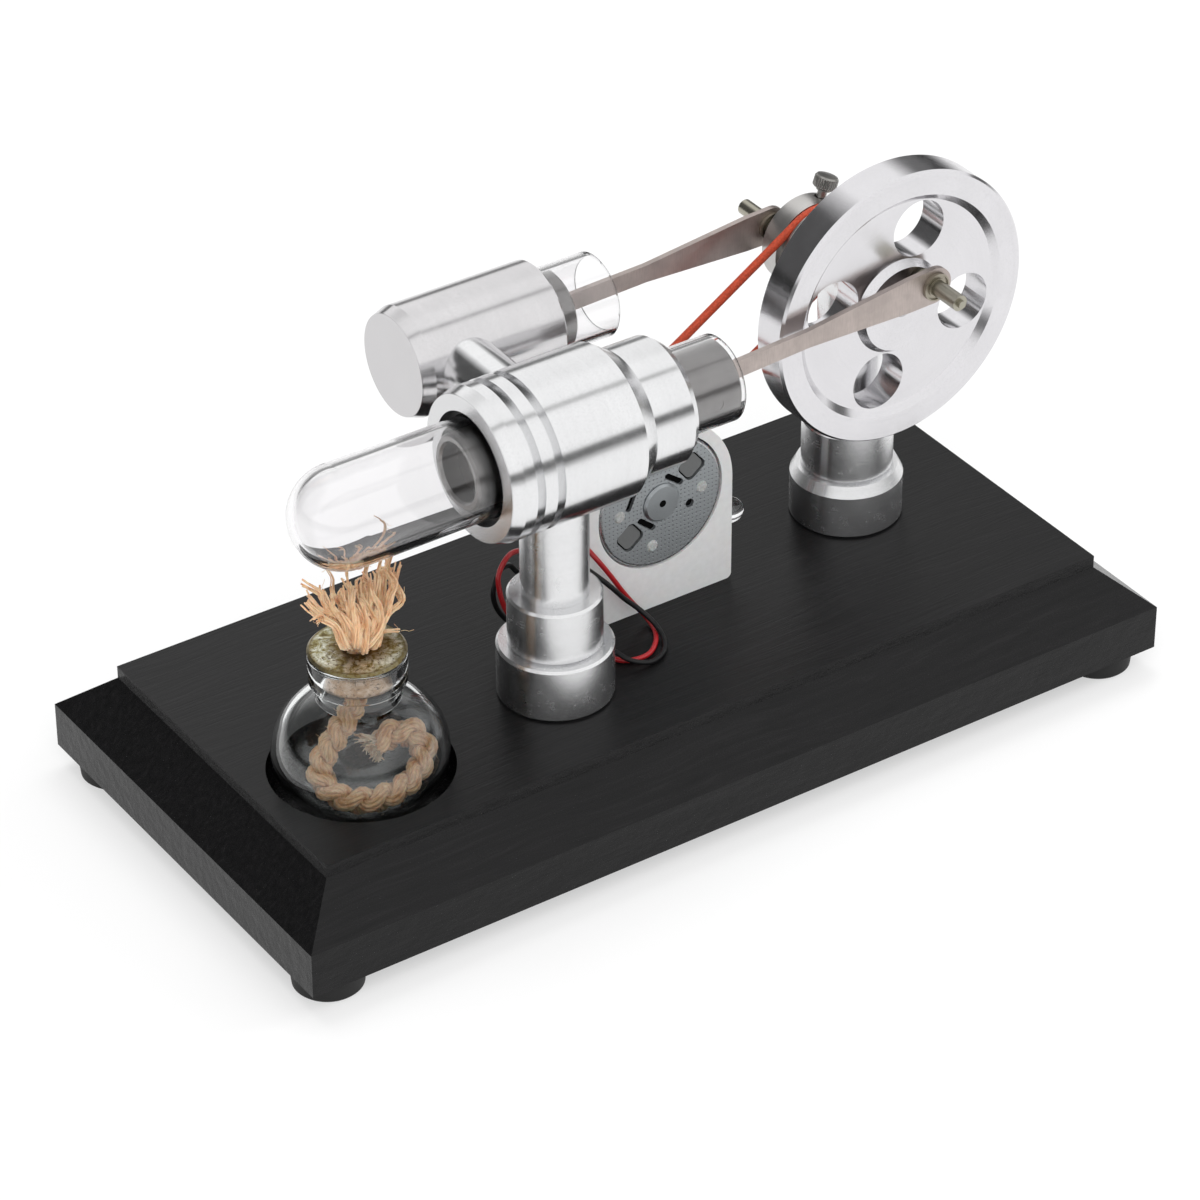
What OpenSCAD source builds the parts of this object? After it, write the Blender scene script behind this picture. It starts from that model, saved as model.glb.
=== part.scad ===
// Two-cylinder hot air engine on a wooden base, with a spirit lamp and a small lamp generator.
// Origin at the middle of the base, level with the soles of the feet. +X runs from the lamp
// to the flywheel, -Y is the side of the hot cylinder, +Z is up.

/* [Base] */
// Length of the base board
base_l = 170; // [160:1:190]
// Width of the base board
base_w = 82; // [78:1:100]
// Height of the upright edge of the board
base_side_h = 8.3; // [6:0.1:12]
// Horizontal run of the sloped border
border_run = 8; // [5:0.5:8]
// Rise of the sloped border
border_rise = 6.9; // [4:0.1:9]
// Height of the raised panel above the border
panel_lip_h = 2.3; // [1:0.1:4]
// Depth of the recess that the lamp stands in
recess_depth = 8; // [5:0.5:9]
// Radial gap between the lamp and its recess
recess_gap = 0.95; // [0.5:0.05:2]

/* [Feet] */
// Radius of a foot at its sole
foot_r = 5.9; // [4:0.1:7]
// Height of a foot
foot_h = 4.2; // [3:0.1:8]
// Distance from the edges of the board to a foot's centre
foot_inset = 7; // [7:0.5:12]
// Radius of the screw hole through a foot
foot_screw_r = 1.3; // [1:0.1:2]

/* [Posts] */
// Radius of the lower ring of a post
ring_r = 9.8; // [8.5:0.1:11]
// Height of the lower ring
ring_h = 9.9; // [6:0.1:12]
// Radius of the upper ring
collar_r = 7.95; // [6.8:0.05:8.5]
// Height of the upper ring
collar_h = 9.8; // [6:0.1:12]
// Radius of the slender column
column_r = 5.7; // [5.2:0.1:5.8]
// Radial depth of the bevel on top of the flywheel post's lower ring
ring_bevel_d = 1; // [0.3:0.1:1.5]
// Height of that bevel
ring_bevel_h = 1.9; // [0.5:0.1:3]
// Depth of the bevel on top of the flywheel post's upper ring
collar_bevel = 0.9; // [0.3:0.1:1.4]
// Place of the hot cylinder's post along the base
hot_post_x = -20.5; // [-25:0.5:-16]
// Place of the hot cylinder's axis across the base
hot_axis_y = -13.3; // [-14:0.1:-13]
// Place of the flywheel's post along the base
wheel_post_x = 50.9; // [46:0.1:54]
// Place of the flywheel's post across the base
wheel_post_y = 3.2; // [3:0.1:3.6]
// Radius of the screws that hold the posts
post_screw_r = 2; // [1.5:0.1:2.5]
// Length of the post screws above the bottom of the board
post_screw_l = 20; // [18:1:26]

/* [Crank] */
// Height of the crank axis above the panel
crank_axis_h = 47.3; // [46:0.1:52]
// Distance from the crank axis to a crank pin
crank_throw = 6.1; // [4:0.1:6.3]
// Angle of the hot cylinder's crank pin as drawn
hot_pin_angle = 44; // [30:1:60]
// Angle of the cold cylinder's crank pin as drawn
cold_pin_angle = 149; // [130:1:155]
// Radius of the crank shaft
shaft_r = 1.5; // [1.2:0.1:1.8]
// Outer radius of the bearing housing on top of the flywheel's post
housing_r = 5.9; // [5.9:0.1:6.6]
// Half length of the bearing housing
housing_half_l = 5.9; // [5.9:0.1:6.1]
// Outer radius of the shaft's ball bearings
bearing_r = 4; // [3.5:0.1:4.3]
// Width of the shaft's ball bearings
bearing_w = 3; // [2:0.1:4]
// Radius of a crank pin
crank_pin_r = 1.4; // [1:0.05:1.45]
// Length of the free end of a crank pin
crank_pin_tail = 6.8; // [2:0.1:8]
// Gap between a crank pin's root and the face it runs on
pin_root_gap = 0.05; // [0.03:0.01:0.1]

/* [Flywheel] */
// Radius of the flywheel
wheel_r = 25; // [23:0.5:26]
// Thickness of the rim
wheel_t = 6.6; // [5:0.1:7]
// Depth of the recess in the front face
wheel_recess = 1; // [0.5:0.1:2]
// Radius of the recess at the front face
wheel_recess_r = 20.6; // [20:0.1:21]
// Radial run of the recess's sloped wall
wheel_recess_slope = 1.2; // [0.5:0.1:1.3]
// Radius of a lightening hole
wheel_hole_r = 5.15; // [3:0.05:5.2]
// Radius of the circle that the holes lie on
wheel_hole_circle_r = 14.05; // [13.9:0.05:14.1]
// Angle of the first hole
wheel_hole_angle = 74.6; // [0:0.1:90]
// Number of lightening holes
wheel_holes = 4; // [3:1:5]
// Radius of the boss at its front face
wheel_boss_r = 7.7; // [7.5:0.1:8]
// Height of the boss above the recess floor
wheel_boss_h = 1.4; // [1.1:0.1:1.6]
// Gap between the flywheel and its post, filled by a spacer
wheel_spacer_l = 1.4; // [1:0.1:1.6]

/* [Pulleys] */
// Radius of the drum behind the belt
hub_r = 8.1; // [7.9:0.05:8.4]
// Pitch radius of the belt on the crank pulley
crank_pitch_r = 7.65; // [7.2:0.05:7.7]
// Pitch radius of the belt on the motor pulley
motor_pitch_r = 7.15; // [5:0.05:7.4]
// Place of the belt across the base
belt_y = 13.1; // [13:0.05:13.2]
// Radius of the round belt
belt_r = 0.75; // [0.5:0.05:0.8]
// Gap between the belt and the pulley grooves
belt_gap = 0.1; // [0.05:0.01:0.15]
// Thickness of a pulley's flange
flange_t = 0.7; // [0.5:0.1:0.8]
// Angle of the thumb screw as drawn
thumb_angle = 70; // [50:1:80]
// Radius of the thumb screw's head
thumb_head_r = 2.1; // [1.8:0.1:2.4]
// Height of the thumb screw's head
thumb_head_h = 2.4; // [2:0.1:4]

/* [Cylinders] */
// Height of both cylinder axes above the panel
cylinder_axis_h = 48.8; // [48:0.1:54]
// Radius of the hot cylinder's body
hot_r = 13.2; // [12.6:0.1:13.5]
// Place of the hot cylinder's front face along the base
hot_face_x = -36.4; // [-37:0.1:-36]
// Length of the gland ring on the hot cylinder's front
hot_gland_l = 4.3; // [4:0.1:4.6]
// Width of a groove in the hot cylinder
hot_groove_w = 1.5; // [1:0.1:2]
// Depth of a groove in the hot cylinder
hot_groove_d = 1.3; // [0.5:0.1:1.5]
// Width of the band between the two grooves
hot_band_w = 2.3; // [1.5:0.1:3]
// Length of the hot cylinder's plain middle
hot_middle_l = 15.7; // [15:0.1:16.5]
// Radius of the hot cylinder's rear section
hot_rear_r = 11; // [9.8:0.1:11.5]
// Length of the cone between the middle and the rear section
hot_cone_l = 3.2; // [2:0.1:4]
// Length of the hot cylinder's rear section
hot_rear_l = 11.8; // [11:0.1:13]
// Radius of the mouth around the quartz tube
gland_bore_r = 9.7; // [9.3:0.1:10.2]
// Place of the cold cylinder's axis across the base
cold_axis_y = 19.7; // [19.5:0.1:20]
// Radius of the cold cylinder's body
cold_r = 9.65; // [9:0.05:10]
// Place of the cold cylinder's closed end along the base
cold_face_x = -29.8; // [-31:0.1:-29]
// Length of the cold cylinder's body
cold_body_l = 28; // [27:0.1:30]
// Thickness of the cold cylinder's closed end
cold_end_t = 3; // [2:0.1:3.5]
// Radius of the tube that joins the cylinders
cross_tube_r = 5.8; // [5:0.1:6]
// Radius of the gas passage in that tube
passage_r = 3; // [2:0.1:3.5]
// Axial length of the bevels on the outer edges of the cylinders
edge_bevel_l = 2.3; // [1:0.1:2.5]
// Radial depth of those bevels
edge_bevel_d = 0.8; // [0.4:0.1:0.9]

/* [Glass] */
// Outer radius of the quartz tube
quartz_r = 8.7; // [8.4:0.05:8.8]
// Wall of the quartz tube
quartz_wall = 1.2; // [0.8:0.1:1.5]
// Length of the quartz tube that stands out of its gland
quartz_free_l = 32.4; // [28:0.1:34]
// Outer radius of the two glass cylinder sleeves
sleeve_r = 7.45; // [7.3:0.05:7.6]
// Wall of the glass cylinder sleeves
sleeve_wall = 1; // [0.8:0.05:1.05]
// Length of the hot sleeve that stands out
hot_sleeve_free_l = 11.4; // [10:0.1:12]
// Length of the cold sleeve that stands out
cold_sleeve_free_l = 11.9; // [11:0.1:12.5]
// Length of each sleeve held in its cylinder
sleeve_held_l = 9.5; // [8:0.1:10]

/* [Pistons and rods] */
// Length of a piston
piston_l = 14; // [13:0.1:15]
// Radial running clearance of a piston in its sleeve
piston_gap = 0.06; // [0.03:0.01:0.1]
// Wall of a piston's skirt
piston_wall = 1; // [0.8:0.1:1.2]
// Distance from the wrist pin to the piston's open end
wrist_to_skirt = 4.9; // [4:0.1:6]
// Radius of a wrist pin
wrist_pin_r = 1; // [0.8:0.1:1.2]
// Length of a connecting rod between its pivots
rod_l = 48.5; // [48:0.1:49.5]
// Thickness of a connecting rod
rod_t = 1; // [0.8:0.1:1.4]
// Half height of the rod's slender part
rod_half_h = 1.6; // [1.5:0.1:1.7]
// Radius of the rod's crank end
rod_big_r = 3.3; // [3:0.05:3.5]
// Outer radius of the ball bearing in the rod
rod_bearing_r = 2.5; // [2.2:0.05:2.6]
// Width of the ball bearing in the rod
rod_bearing_w = 2.3; // [1.8:0.1:2.5]
// Radius of the displacer crown in the quartz tube
crown_r = 6.5; // [6.3:0.05:6.6]
// Length of the displacer crown
crown_l = 19; // [15:0.1:20]
// Length of the stem between the crown and the piston
stem_l = 17.8; // [17:0.1:19]
// Radius of the stem that carries the crown
stem_r = 1.6; // [1.2:0.1:2]
// Radial running clearance of shafts and pins
running_gap = 0.03; // [0.02:0.01:0.06]

/* [Generator] */
// Radius of the motor's can
motor_r = 12.2; // [11.6:0.1:12.4]
// Length of the motor's can
motor_l = 12.3; // [10:0.1:12.8]
// Radius of the motor's shaft
motor_shaft_r = 1; // [0.8:0.1:1.2]
// Height of the motor's axis above the panel
motor_axis_h = 20.6; // [20:0.1:21.5]
// Place of the motor along the base
motor_x = 7.6; // [6:0.1:9]
// Place of the bracket's front face across the base
bracket_front_y = -3; // [-3.4:0.1:-2.8]
// Thickness of the bracket
bracket_t = 8; // [7:0.1:8.5]
// Half width of the bracket, and radius of its rounded top
bracket_r = 14.6; // [14.2:0.1:15.5]
// Radial gap between the motor and the bracket
motor_gap = 0.3; // [0.1:0.05:0.5]
// Radius of the light in the bracket's side
led_r = 2.2; // [2:0.05:2.5]
// Length of the light that stands out of the bracket
led_free_l = 4.9; // [3:0.1:7]
// Length of the light held in the bracket
led_held_l = 3; // [2:0.1:3.4]
// Height of the light above the panel
led_h = 10.5; // [8:0.1:11]
// Radius of a wire over its insulation
wire_r = 0.45; // [0.35:0.05:0.45]

/* [Lamp] */
// Place of the lamp along the base
lamp_x = -58.2; // [-60:0.1:-57]
// Largest radius of the lamp's bottle
bottle_r = 14.5; // [13.5:0.1:14.8]
// Half height of the bottle's rounded belly
belly_half_h = 12; // [11.8:0.1:12.4]
// Height of the belly's middle above the bottle's sole
belly_mid_h = 11.6; // [11:0.1:11.6]
// Wall of the bottle
bottle_wall = 1.2; // [0.8:0.1:1.4]
// Outer radius of the bottle's neck
neck_r = 6.9; // [6.6:0.1:7.2]
// Outer radius of the lip around the bottle's mouth
lip_r = 8.05; // [7.5:0.05:8.5]
// Height of the lip
lip_h = 5.4; // [3:0.1:6]
// Height of the mouth above the bottle's sole
mouth_h = 30.4; // [30:0.1:31]
// Thickness of the stopper's disc
stopper_t = 0.8; // [0.5:0.1:1.2]
// Length of the stopper's plug in the neck
plug_l = 5; // [3:0.1:6]
// Radius of the braided wick
wick_r = 2.6; // [2:0.1:2.7]
// Height of the frayed tuft above the stopper
tuft_h = 10; // [6:0.1:10.5]
// Number of strands in the frayed tuft
tuft_strands = 18; // [10:1:30]

/* [Hidden] */
$fn = 72;

// Overrun of the cuts past the faces that they open
overrun = 1;
// Bevel on the small outer edges of turned pieces
small_bevel = 0.4;
// Clearance of a fixed fit between two still pieces
fixed_gap = 0.02;

// Heights of the base
base_bottom = foot_h;
border_foot = base_bottom + base_side_h;
border_top = border_foot + border_rise;
panel_top = border_top + panel_lip_h;
board_h = panel_top - base_bottom;
crank_z = panel_top + crank_axis_h;
cylinder_z = panel_top + cylinder_axis_h;
motor_z = panel_top + motor_axis_h;
foot_place = [base_l / 2 - foot_inset, base_w / 2 - foot_inset];
foot_signs = [[-1, -1], [1, -1], [1, 1], [-1, 1]];

// Places of the crank train across the base
wheel_back_y = wheel_post_y - housing_half_l - wheel_spacer_l;
wheel_front_y = wheel_back_y - wheel_t;
wheel_floor_y = wheel_front_y + wheel_recess;
boss_face_y = wheel_floor_y - wheel_boss_h;
groove_half_w = belt_r + 0.15 * belt_r;
hub_drum_y = belt_y + groove_half_w;
hub_drum_l = 2 * (thumb_head_r + pin_root_gap);
hub_face_y = hub_drum_y + hub_drum_l;
hub_front_y = belt_y - groove_half_w - flange_t;
thumb_y = hub_drum_y + hub_drum_l / 2;
thumb_shank_r = thumb_head_r * 0.55;
thumb_neck_h = thumb_head_r * 0.6;
race_dish = bearing_w / 15;
spacer_r = 2 * shaft_r;
hub_foot_y = wheel_post_y + housing_half_l + running_gap;

// Crank pins, seen from the front, and the wrist pins that the rods reach
hot_pin = [wheel_post_x + crank_throw * cos(hot_pin_angle), crank_z + crank_throw * sin(hot_pin_angle)];
cold_pin = [wheel_post_x + crank_throw * cos(cold_pin_angle), crank_z + crank_throw * sin(cold_pin_angle)];
function wrist_x(pin) = pin[0] - sqrt(rod_l * rod_l - pow(pin[1] - cylinder_z, 2));
hot_wrist_x = wrist_x(hot_pin);
cold_wrist_x = wrist_x(cold_pin);
function rod_tilt(pin) = asin((pin[1] - cylinder_z) / rod_l);
crank_drop = cylinder_z - crank_z;

// Travel of a piston from its drawn place: the dead centres lie where rod and throw are in line
far_wrist_x = wheel_post_x - sqrt(pow(rod_l + crank_throw, 2) - crank_drop * crank_drop);
near_wrist_x = wheel_post_x - sqrt(pow(rod_l - crank_throw, 2) - crank_drop * crank_drop);
tilt_high = asin((crank_throw - crank_drop) / rod_l);
tilt_low = -asin((crank_throw + crank_drop) / rod_l);
echo(hot_travel = [far_wrist_x - hot_wrist_x, near_wrist_x - hot_wrist_x]);
echo(cold_travel = [far_wrist_x - cold_wrist_x, near_wrist_x - cold_wrist_x]);
echo(hot_wrist = [hot_wrist_x, hot_axis_y, cylinder_z], cold_wrist = [cold_wrist_x, cold_axis_y, cylinder_z]);
echo(hot_swing = [rod_tilt(hot_pin) - tilt_high, rod_tilt(hot_pin) - tilt_low]);
echo(cold_swing = [rod_tilt(cold_pin) - tilt_high, rod_tilt(cold_pin) - tilt_low]);
echo(crank = [wheel_post_x, wheel_post_y, crank_z], motor = [motor_x, belt_y, motor_z]);
echo(thumb_y = thumb_y, lamp = [lamp_x, hot_axis_y, lamp_foot], stopper = mouth_z, panel = panel_top);

// Stations along the hot cylinder
hot_gland_x = hot_face_x + hot_gland_l;
hot_band_x = hot_gland_x + hot_groove_w;
hot_groove2_x = hot_band_x + hot_band_w;
hot_middle_x = hot_groove2_x + hot_groove_w;
hot_step_x = hot_middle_x + hot_middle_l;
hot_neck_x = hot_step_x + hot_cone_l;
hot_end_x = hot_step_x + hot_rear_l;
hot_sleeve_x = hot_end_x - sleeve_held_l;
spigot_l = hot_gland_l / 3;
quartz_end_x = hot_middle_x + hot_band_w;
quartz_inner_r = quartz_r - quartz_wall;
sleeve_inner_r = sleeve_r - sleeve_wall;
chamber_r = sleeve_r - sleeve_wall / 3;
seal_x = hot_gland_x - spigot_l;
seal_t = hot_gland_l / 3;

// Stations along the cold cylinder
cold_end_x = cold_face_x + cold_body_l;
cold_sleeve_x = cold_end_x - sleeve_held_l;

// Pistons
piston_r = sleeve_inner_r - piston_gap;
piston_bore_r = piston_r - piston_wall;
hot_skirt_x = hot_wrist_x + wrist_to_skirt;
cold_skirt_x = cold_wrist_x + wrist_to_skirt;
crown_recess_share = 0.76;
crown_wall = crown_r * (1 - crown_recess_share);
crown_end_x = hot_skirt_x - piston_l - stem_l;
crown_x = crown_end_x - crown_l;

// Lamp
lamp_foot = panel_top - recess_depth;
belly_mid_z = lamp_foot + belly_mid_h;
mouth_z = lamp_foot + mouth_h;
stopper_top = mouth_z + stopper_t;
neck_inner_r = neck_r - bottle_wall;
plug_gap = 0.1;

// Shares of the flat rod's length where its slender part ends and its crank end begins
rod_taper_shares = [0.47, 0.9];

// Route of the braided wick in the bottle, from the stopper down and round to its frayed end
wick_route = [
    [0, 0, 31.8], [0, 0, 28.4], [0, 0, 24.9], [-0.8, 0, 21.6], [-2.1, 0.1, 18.2], [-3.3, 1, 14.8],
    [-4.5, 2, 11.6], [-5.6, 2.2, 8.6], [-6.2, 0.8, 6.4], [-5.8, -1.8, 5.5], [-4.4, -4.2, 5.2],
    [-2, -5.8, 5.2], [0.9, -6.4, 5.4], [3.8, -6.2, 5.9], [6.5, -5.4, 7], [8.5, -4, 8.7],
    [8.9, -2.1, 10.6], [7.4, -0.6, 11.7], [5.1, 0.2, 11.5], [3, 0.4, 10.6]];

// Routes of the wires from the motor's terminals, over the base and back to the light
red_route = [
    [-6.3, 7.4, 43.2], [-9.8, 6.8, 43.2], [-10.9, 3.4, 43], [-10.3, -0.2, 42.6], [-9, -3.2, 41],
    [-7.2, -4.7, 38.2], [-5.2, -5, 35.1], [-3.3, -5, 32], [-1.4, -5, 28.8], [0.6, -5.1, 25.7],
    [2.5, -6.1, 22.9], [2, -9.5, 22.2], [-0.1, -12.6, 22.2], [-3.1, -14.6, 22.2], [-6.7, -14.1, 22.2],
    [-9, -11.3, 22.2], [-10.5, -8, 22.2], [-12.4, -4.8, 22.3], [-15.1, -2.5, 23], [-18, -1.2, 25],
    [-20.3, -0.8, 27.8], [-22, -0.7, 31], [-23, -0.7, 34.5], [-23.2, -0.7, 38.2], [-20.9, -0.1, 40.7],
    [-17.8, 1.5, 39.7], [-15.8, 3.5, 37.4], [-14.1, 5.7, 34.9], [-12.4, 7.7, 32.4], [-10.2, 9.4, 29.9],
    [-7.4, 10.6, 27.9], [-4.1, 11.2, 26.5], [-0.5, 11.5, 25.7], [3.2, 11.4, 25.6], [6.8, 11.1, 26.1],
    [10.2, 10.5, 27.3], [13.3, 9.7, 29.1], [16.1, 8.5, 31.2], [18.2, 6.1, 33], [18.2, 2.4, 33]];
black_route = [
    [-6.3, 7.4, 40.2], [-9.9, 7.2, 40.1], [-12.3, 4.7, 39.7], [-12.2, 1.1, 39.2], [-11, -2.2, 38.3],
    [-9, -4.6, 36.5], [-6.6, -5.8, 34], [-4.3, -6.2, 31.3], [-2, -6.3, 28.4], [0.4, -7, 25.8],
    [2, -9.3, 23.6], [1.7, -12.6, 22.3], [-0.5, -15.5, 22.2], [-3.9, -16.7, 22.3], [-7.1, -15.4, 23.2],
    [-8.6, -12.3, 24.1], [-9, -8.8, 23.3], [-10, -5.4, 22.4], [-12, -2.4, 22.2], [-14.6, 0.1, 22.6],
    [-17.5, 1.9, 23.9], [-20, 2.7, 26.4], [-21.8, 2.5, 29.6], [-22.6, 2, 33.1], [-21.2, 2.4, 36.2],
    [-18.3, 4.2, 35.5], [-16.2, 6.1, 33.3], [-14.3, 8, 30.8], [-12.1, 9.6, 28.3], [-9.5, 11, 26.2],
    [-6.4, 12, 24.6], [-3, 12.5, 23.5], [0.6, 12.7, 23], [4.3, 12.6, 23], [7.8, 12.1, 23.6],
    [11.1, 11.2, 24.9], [14, 10, 26.8], [16.4, 8.4, 29.1], [18.2, 6, 31.4], [18.2, 2.4, 31.4]];

// Shapes that several pieces share

// A profile of [radius, place] points turned about the X axis
module turned_x(points) {
    rotate([0, 90, 0]) rotate([0, 0, 90]) rotate_extrude() polygon(points);
}

// The same about the Y axis, places running towards +Y
module turned_y(points) {
    rotate([-90, 0, 0]) rotate_extrude() polygon(points);
}

module rod_x(r, x0, x1) {
    translate([x0, 0, 0]) rotate([0, 90, 0]) cylinder(r = r, h = x1 - x0);
}

module rod_y(r, y0, y1) {
    translate([0, y0, 0]) rotate([-90, 0, 0]) cylinder(r = r, h = y1 - y0);
}

// A turned ring with beveled outer edges, standing on z = 0
module bevel_ring(r, h, bore, low, high_d, high_h) {
    rotate_extrude() polygon([
        [bore, 0], [r - low, 0], [r, low], [r, h - high_h], [r - high_d, h], [bore, h]]);
}

// A tube swept along points, by carrying one normal from each point to the next
function unit(v) = v / norm(v);
function tangents(p) = [for (i = [0:len(p) - 1]) unit(p[min(i + 1, len(p) - 1)] - p[max(i - 1, 0)])];
function flat_to(v, t) = unit(v - (v * t) * t);
function normals(t, n, i = 0) = i >= len(t) ? [] :
    let (m = flat_to(n, t[i])) concat([m], normals(t, m, i + 1));
module swept_tube(points, r, sides) {
    t = tangents(points);
    n = normals(t, abs(t[0] * [0, 0, 1]) > 0.9 ? [1, 0, 0] : [0, 0, 1]);
    last = len(points) - 1;
    rings = [for (i = [0:last], k = [0:sides - 1]) let (a = 360 * k / sides)
        points[i] + r * cos(a) * n[i] + r * sin(a) * cross(t[i], n[i])];
    walls = [for (i = [0:last - 1], k = [0:sides - 1]) let (
        a = i * sides + k, b = i * sides + (k + 1) % sides)
        each [[a, a + sides, b], [b, a + sides, b + sides]]];
    start = [for (k = [1:sides - 2]) [0, k, k + 1]];
    finish = [for (k = [1:sides - 2]) [last * sides, last * sides + k + 1, last * sides + k]];
    polyhedron(rings, concat(walls, start, finish));
}

// Base and feet

module border_profile(width) {
    half = width / 2;
    polygon([
        [-half, 0], [half, 0], [half, base_side_h], [half - border_run, base_side_h + border_rise],
        [half - border_run, board_h], [border_run - half, board_h],
        [border_run - half, base_side_h + border_rise], [-half, base_side_h]]);
}

module screw_hole(x, y) {
    translate([x, y, base_bottom]) {
        translate([0, 0, -overrun]) cylinder(r = post_screw_r + fixed_gap, h = board_h + 2 * overrun);
        translate([0, 0, -overrun]) cylinder(r = 2 * post_screw_r + fixed_gap, h = post_screw_r + overrun);
    }
}

module base_board() {
    color("#1b1a1a") difference() {
        intersection() {
            translate([-base_l / 2, 0, base_bottom]) rotate([90, 0, 90])
                linear_extrude(base_l) border_profile(base_w);
            translate([0, base_w / 2, base_bottom]) rotate([90, 0, 0])
                linear_extrude(base_w) border_profile(base_l);
        }
        translate([lamp_x, hot_axis_y, lamp_foot])
            cylinder(r = bottle_r + recess_gap, h = recess_depth + overrun);
        screw_hole(hot_post_x, hot_axis_y);
        screw_hole(wheel_post_x, wheel_post_y);
    }
}

module foot(corner) {
    place = [foot_signs[corner][0] * foot_place[0], foot_signs[corner][1] * foot_place[1], 0];
    color("#161616") translate(place) rotate_extrude() polygon([
        [2 * foot_screw_r, 0], [foot_r - small_bevel, 0], [foot_r, small_bevel],
        [foot_r + small_bevel, foot_h], [foot_screw_r, foot_h], [foot_screw_r, foot_h / 2],
        [2 * foot_screw_r, foot_h / 2]]);
}

// Posts

module post_ring(x, y, bevel_d, bevel_h) {
    color("#d9d9dc") translate([x, y, panel_top])
        bevel_ring(ring_r, ring_h, column_r + fixed_gap, small_bevel, bevel_d, bevel_h);
}

module post_collar(x, y, bevel) {
    color("#d9d9dc") translate([x, y, panel_top + ring_h])
        bevel_ring(collar_r, collar_h, column_r + fixed_gap, small_bevel, bevel, bevel);
}

module screw_pocket() {
    translate([0, 0, -overrun])
        cylinder(r = post_screw_r + fixed_gap, h = post_screw_l - board_h + 2 * overrun);
}

module hot_post_ring() { post_ring(hot_post_x, hot_axis_y, small_bevel, small_bevel); }

module hot_post_collar() { post_collar(hot_post_x, hot_axis_y, small_bevel); }

module hot_post_column() {
    color("#dcdcdf") difference() {
        translate([hot_post_x, hot_axis_y, panel_top]) difference() {
            cylinder(r = column_r, h = cylinder_axis_h);
            screw_pocket();
        }
        translate([0, hot_axis_y, cylinder_z])
            rod_x(hot_r + fixed_gap, hot_post_x - 2 * column_r, hot_post_x + 2 * column_r);
    }
}

module post_screw(x, y) {
    color("#9a9a9e") translate([x, y, base_bottom]) {
        cylinder(r = post_screw_r, h = post_screw_l);
        cylinder(r = 2 * post_screw_r, h = post_screw_r - fixed_gap);
    }
}

module wheel_post_ring() { post_ring(wheel_post_x, wheel_post_y, ring_bevel_d, ring_bevel_h); }

module wheel_post_collar() { post_collar(wheel_post_x, wheel_post_y, collar_bevel); }

module wheel_post_column() {
    color("#dcdcdf") translate([wheel_post_x, wheel_post_y, 0]) difference() {
        union() {
            translate([0, 0, panel_top]) cylinder(r = column_r, h = crank_axis_h);
            translate([0, 0, crank_z]) rod_y(housing_r, -housing_half_l, housing_half_l);
        }
        translate([0, 0, panel_top]) screw_pocket();
        translate([0, 0, crank_z]) {
            rod_y(spacer_r, -housing_half_l - overrun, housing_half_l + overrun);
            rod_y(bearing_r + fixed_gap, -housing_half_l - overrun, bearing_w - housing_half_l);
            rod_y(bearing_r + fixed_gap, housing_half_l - bearing_w, housing_half_l + overrun);
        }
    }
}

module shaft_bearing(side) {
    start = side < 0 ? -housing_half_l : housing_half_l - bearing_w;
    race = (bearing_r - shaft_r) / 4;
    color("#b7b7bb") translate([wheel_post_x, wheel_post_y + start, crank_z]) turned_y([
        [shaft_r + running_gap, 0], [shaft_r + race, 0], [shaft_r + race, race_dish],
        [bearing_r - race, race_dish], [bearing_r - race, 0], [bearing_r, 0], [bearing_r, bearing_w],
        [bearing_r - race, bearing_w], [bearing_r - race, bearing_w - race_dish],
        [shaft_r + race, bearing_w - race_dish], [shaft_r + race, bearing_w],
        [shaft_r + running_gap, bearing_w]]);
}

// Hot cylinder, quartz tube and sleeve

module hot_place() { translate([0, hot_axis_y, cylinder_z]) children(); }

module cold_place() { translate([0, cold_axis_y, cylinder_z]) children(); }

module hot_gland() {
    color("#e2e2e4") hot_place() turned_x([
        [gland_bore_r, hot_face_x], [hot_r - edge_bevel_d, hot_face_x], [hot_r, hot_face_x + edge_bevel_l],
        [hot_r, hot_gland_x], [hot_r - hot_groove_d, hot_gland_x], [hot_r - hot_groove_d, hot_band_x],
        [quartz_r + running_gap, hot_band_x], [quartz_r + running_gap, seal_x], [gland_bore_r, seal_x]]);
}

module gland_seal() {
    color("#1d1d1f") hot_place() turned_x([
        [quartz_r + fixed_gap, seal_x - seal_t], [gland_bore_r - fixed_gap, seal_x - seal_t],
        [gland_bore_r - fixed_gap, seal_x], [quartz_r + fixed_gap, seal_x]]);
}

module passage_cut(y0, y1) {
    translate([hot_post_x, 0, cylinder_z]) rod_y(passage_r, y0, y1);
}

module hot_body() {
    color("#e2e2e4") difference() {
        hot_place() turned_x([
            [quartz_r + running_gap, hot_band_x], [hot_r, hot_band_x], [hot_r, hot_groove2_x],
            [hot_r - hot_groove_d, hot_groove2_x], [hot_r - hot_groove_d, hot_middle_x],
            [hot_r, hot_middle_x], [hot_r, hot_step_x],
            [hot_rear_r, hot_neck_x], [hot_rear_r, hot_end_x - edge_bevel_l / 2],
            [hot_rear_r - edge_bevel_d, hot_end_x], [sleeve_r + fixed_gap, hot_end_x],
            [sleeve_r + fixed_gap, hot_sleeve_x], [chamber_r, hot_sleeve_x],
            [chamber_r, quartz_end_x], [quartz_r + running_gap, quartz_end_x]]);
        passage_cut(hot_axis_y, hot_axis_y + hot_r + overrun);
    }
}

function dome(r, x, steps) = [for (i = [0:steps]) let (a = 90 * i / steps) [r * cos(a), x - r * sin(a)]];

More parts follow.
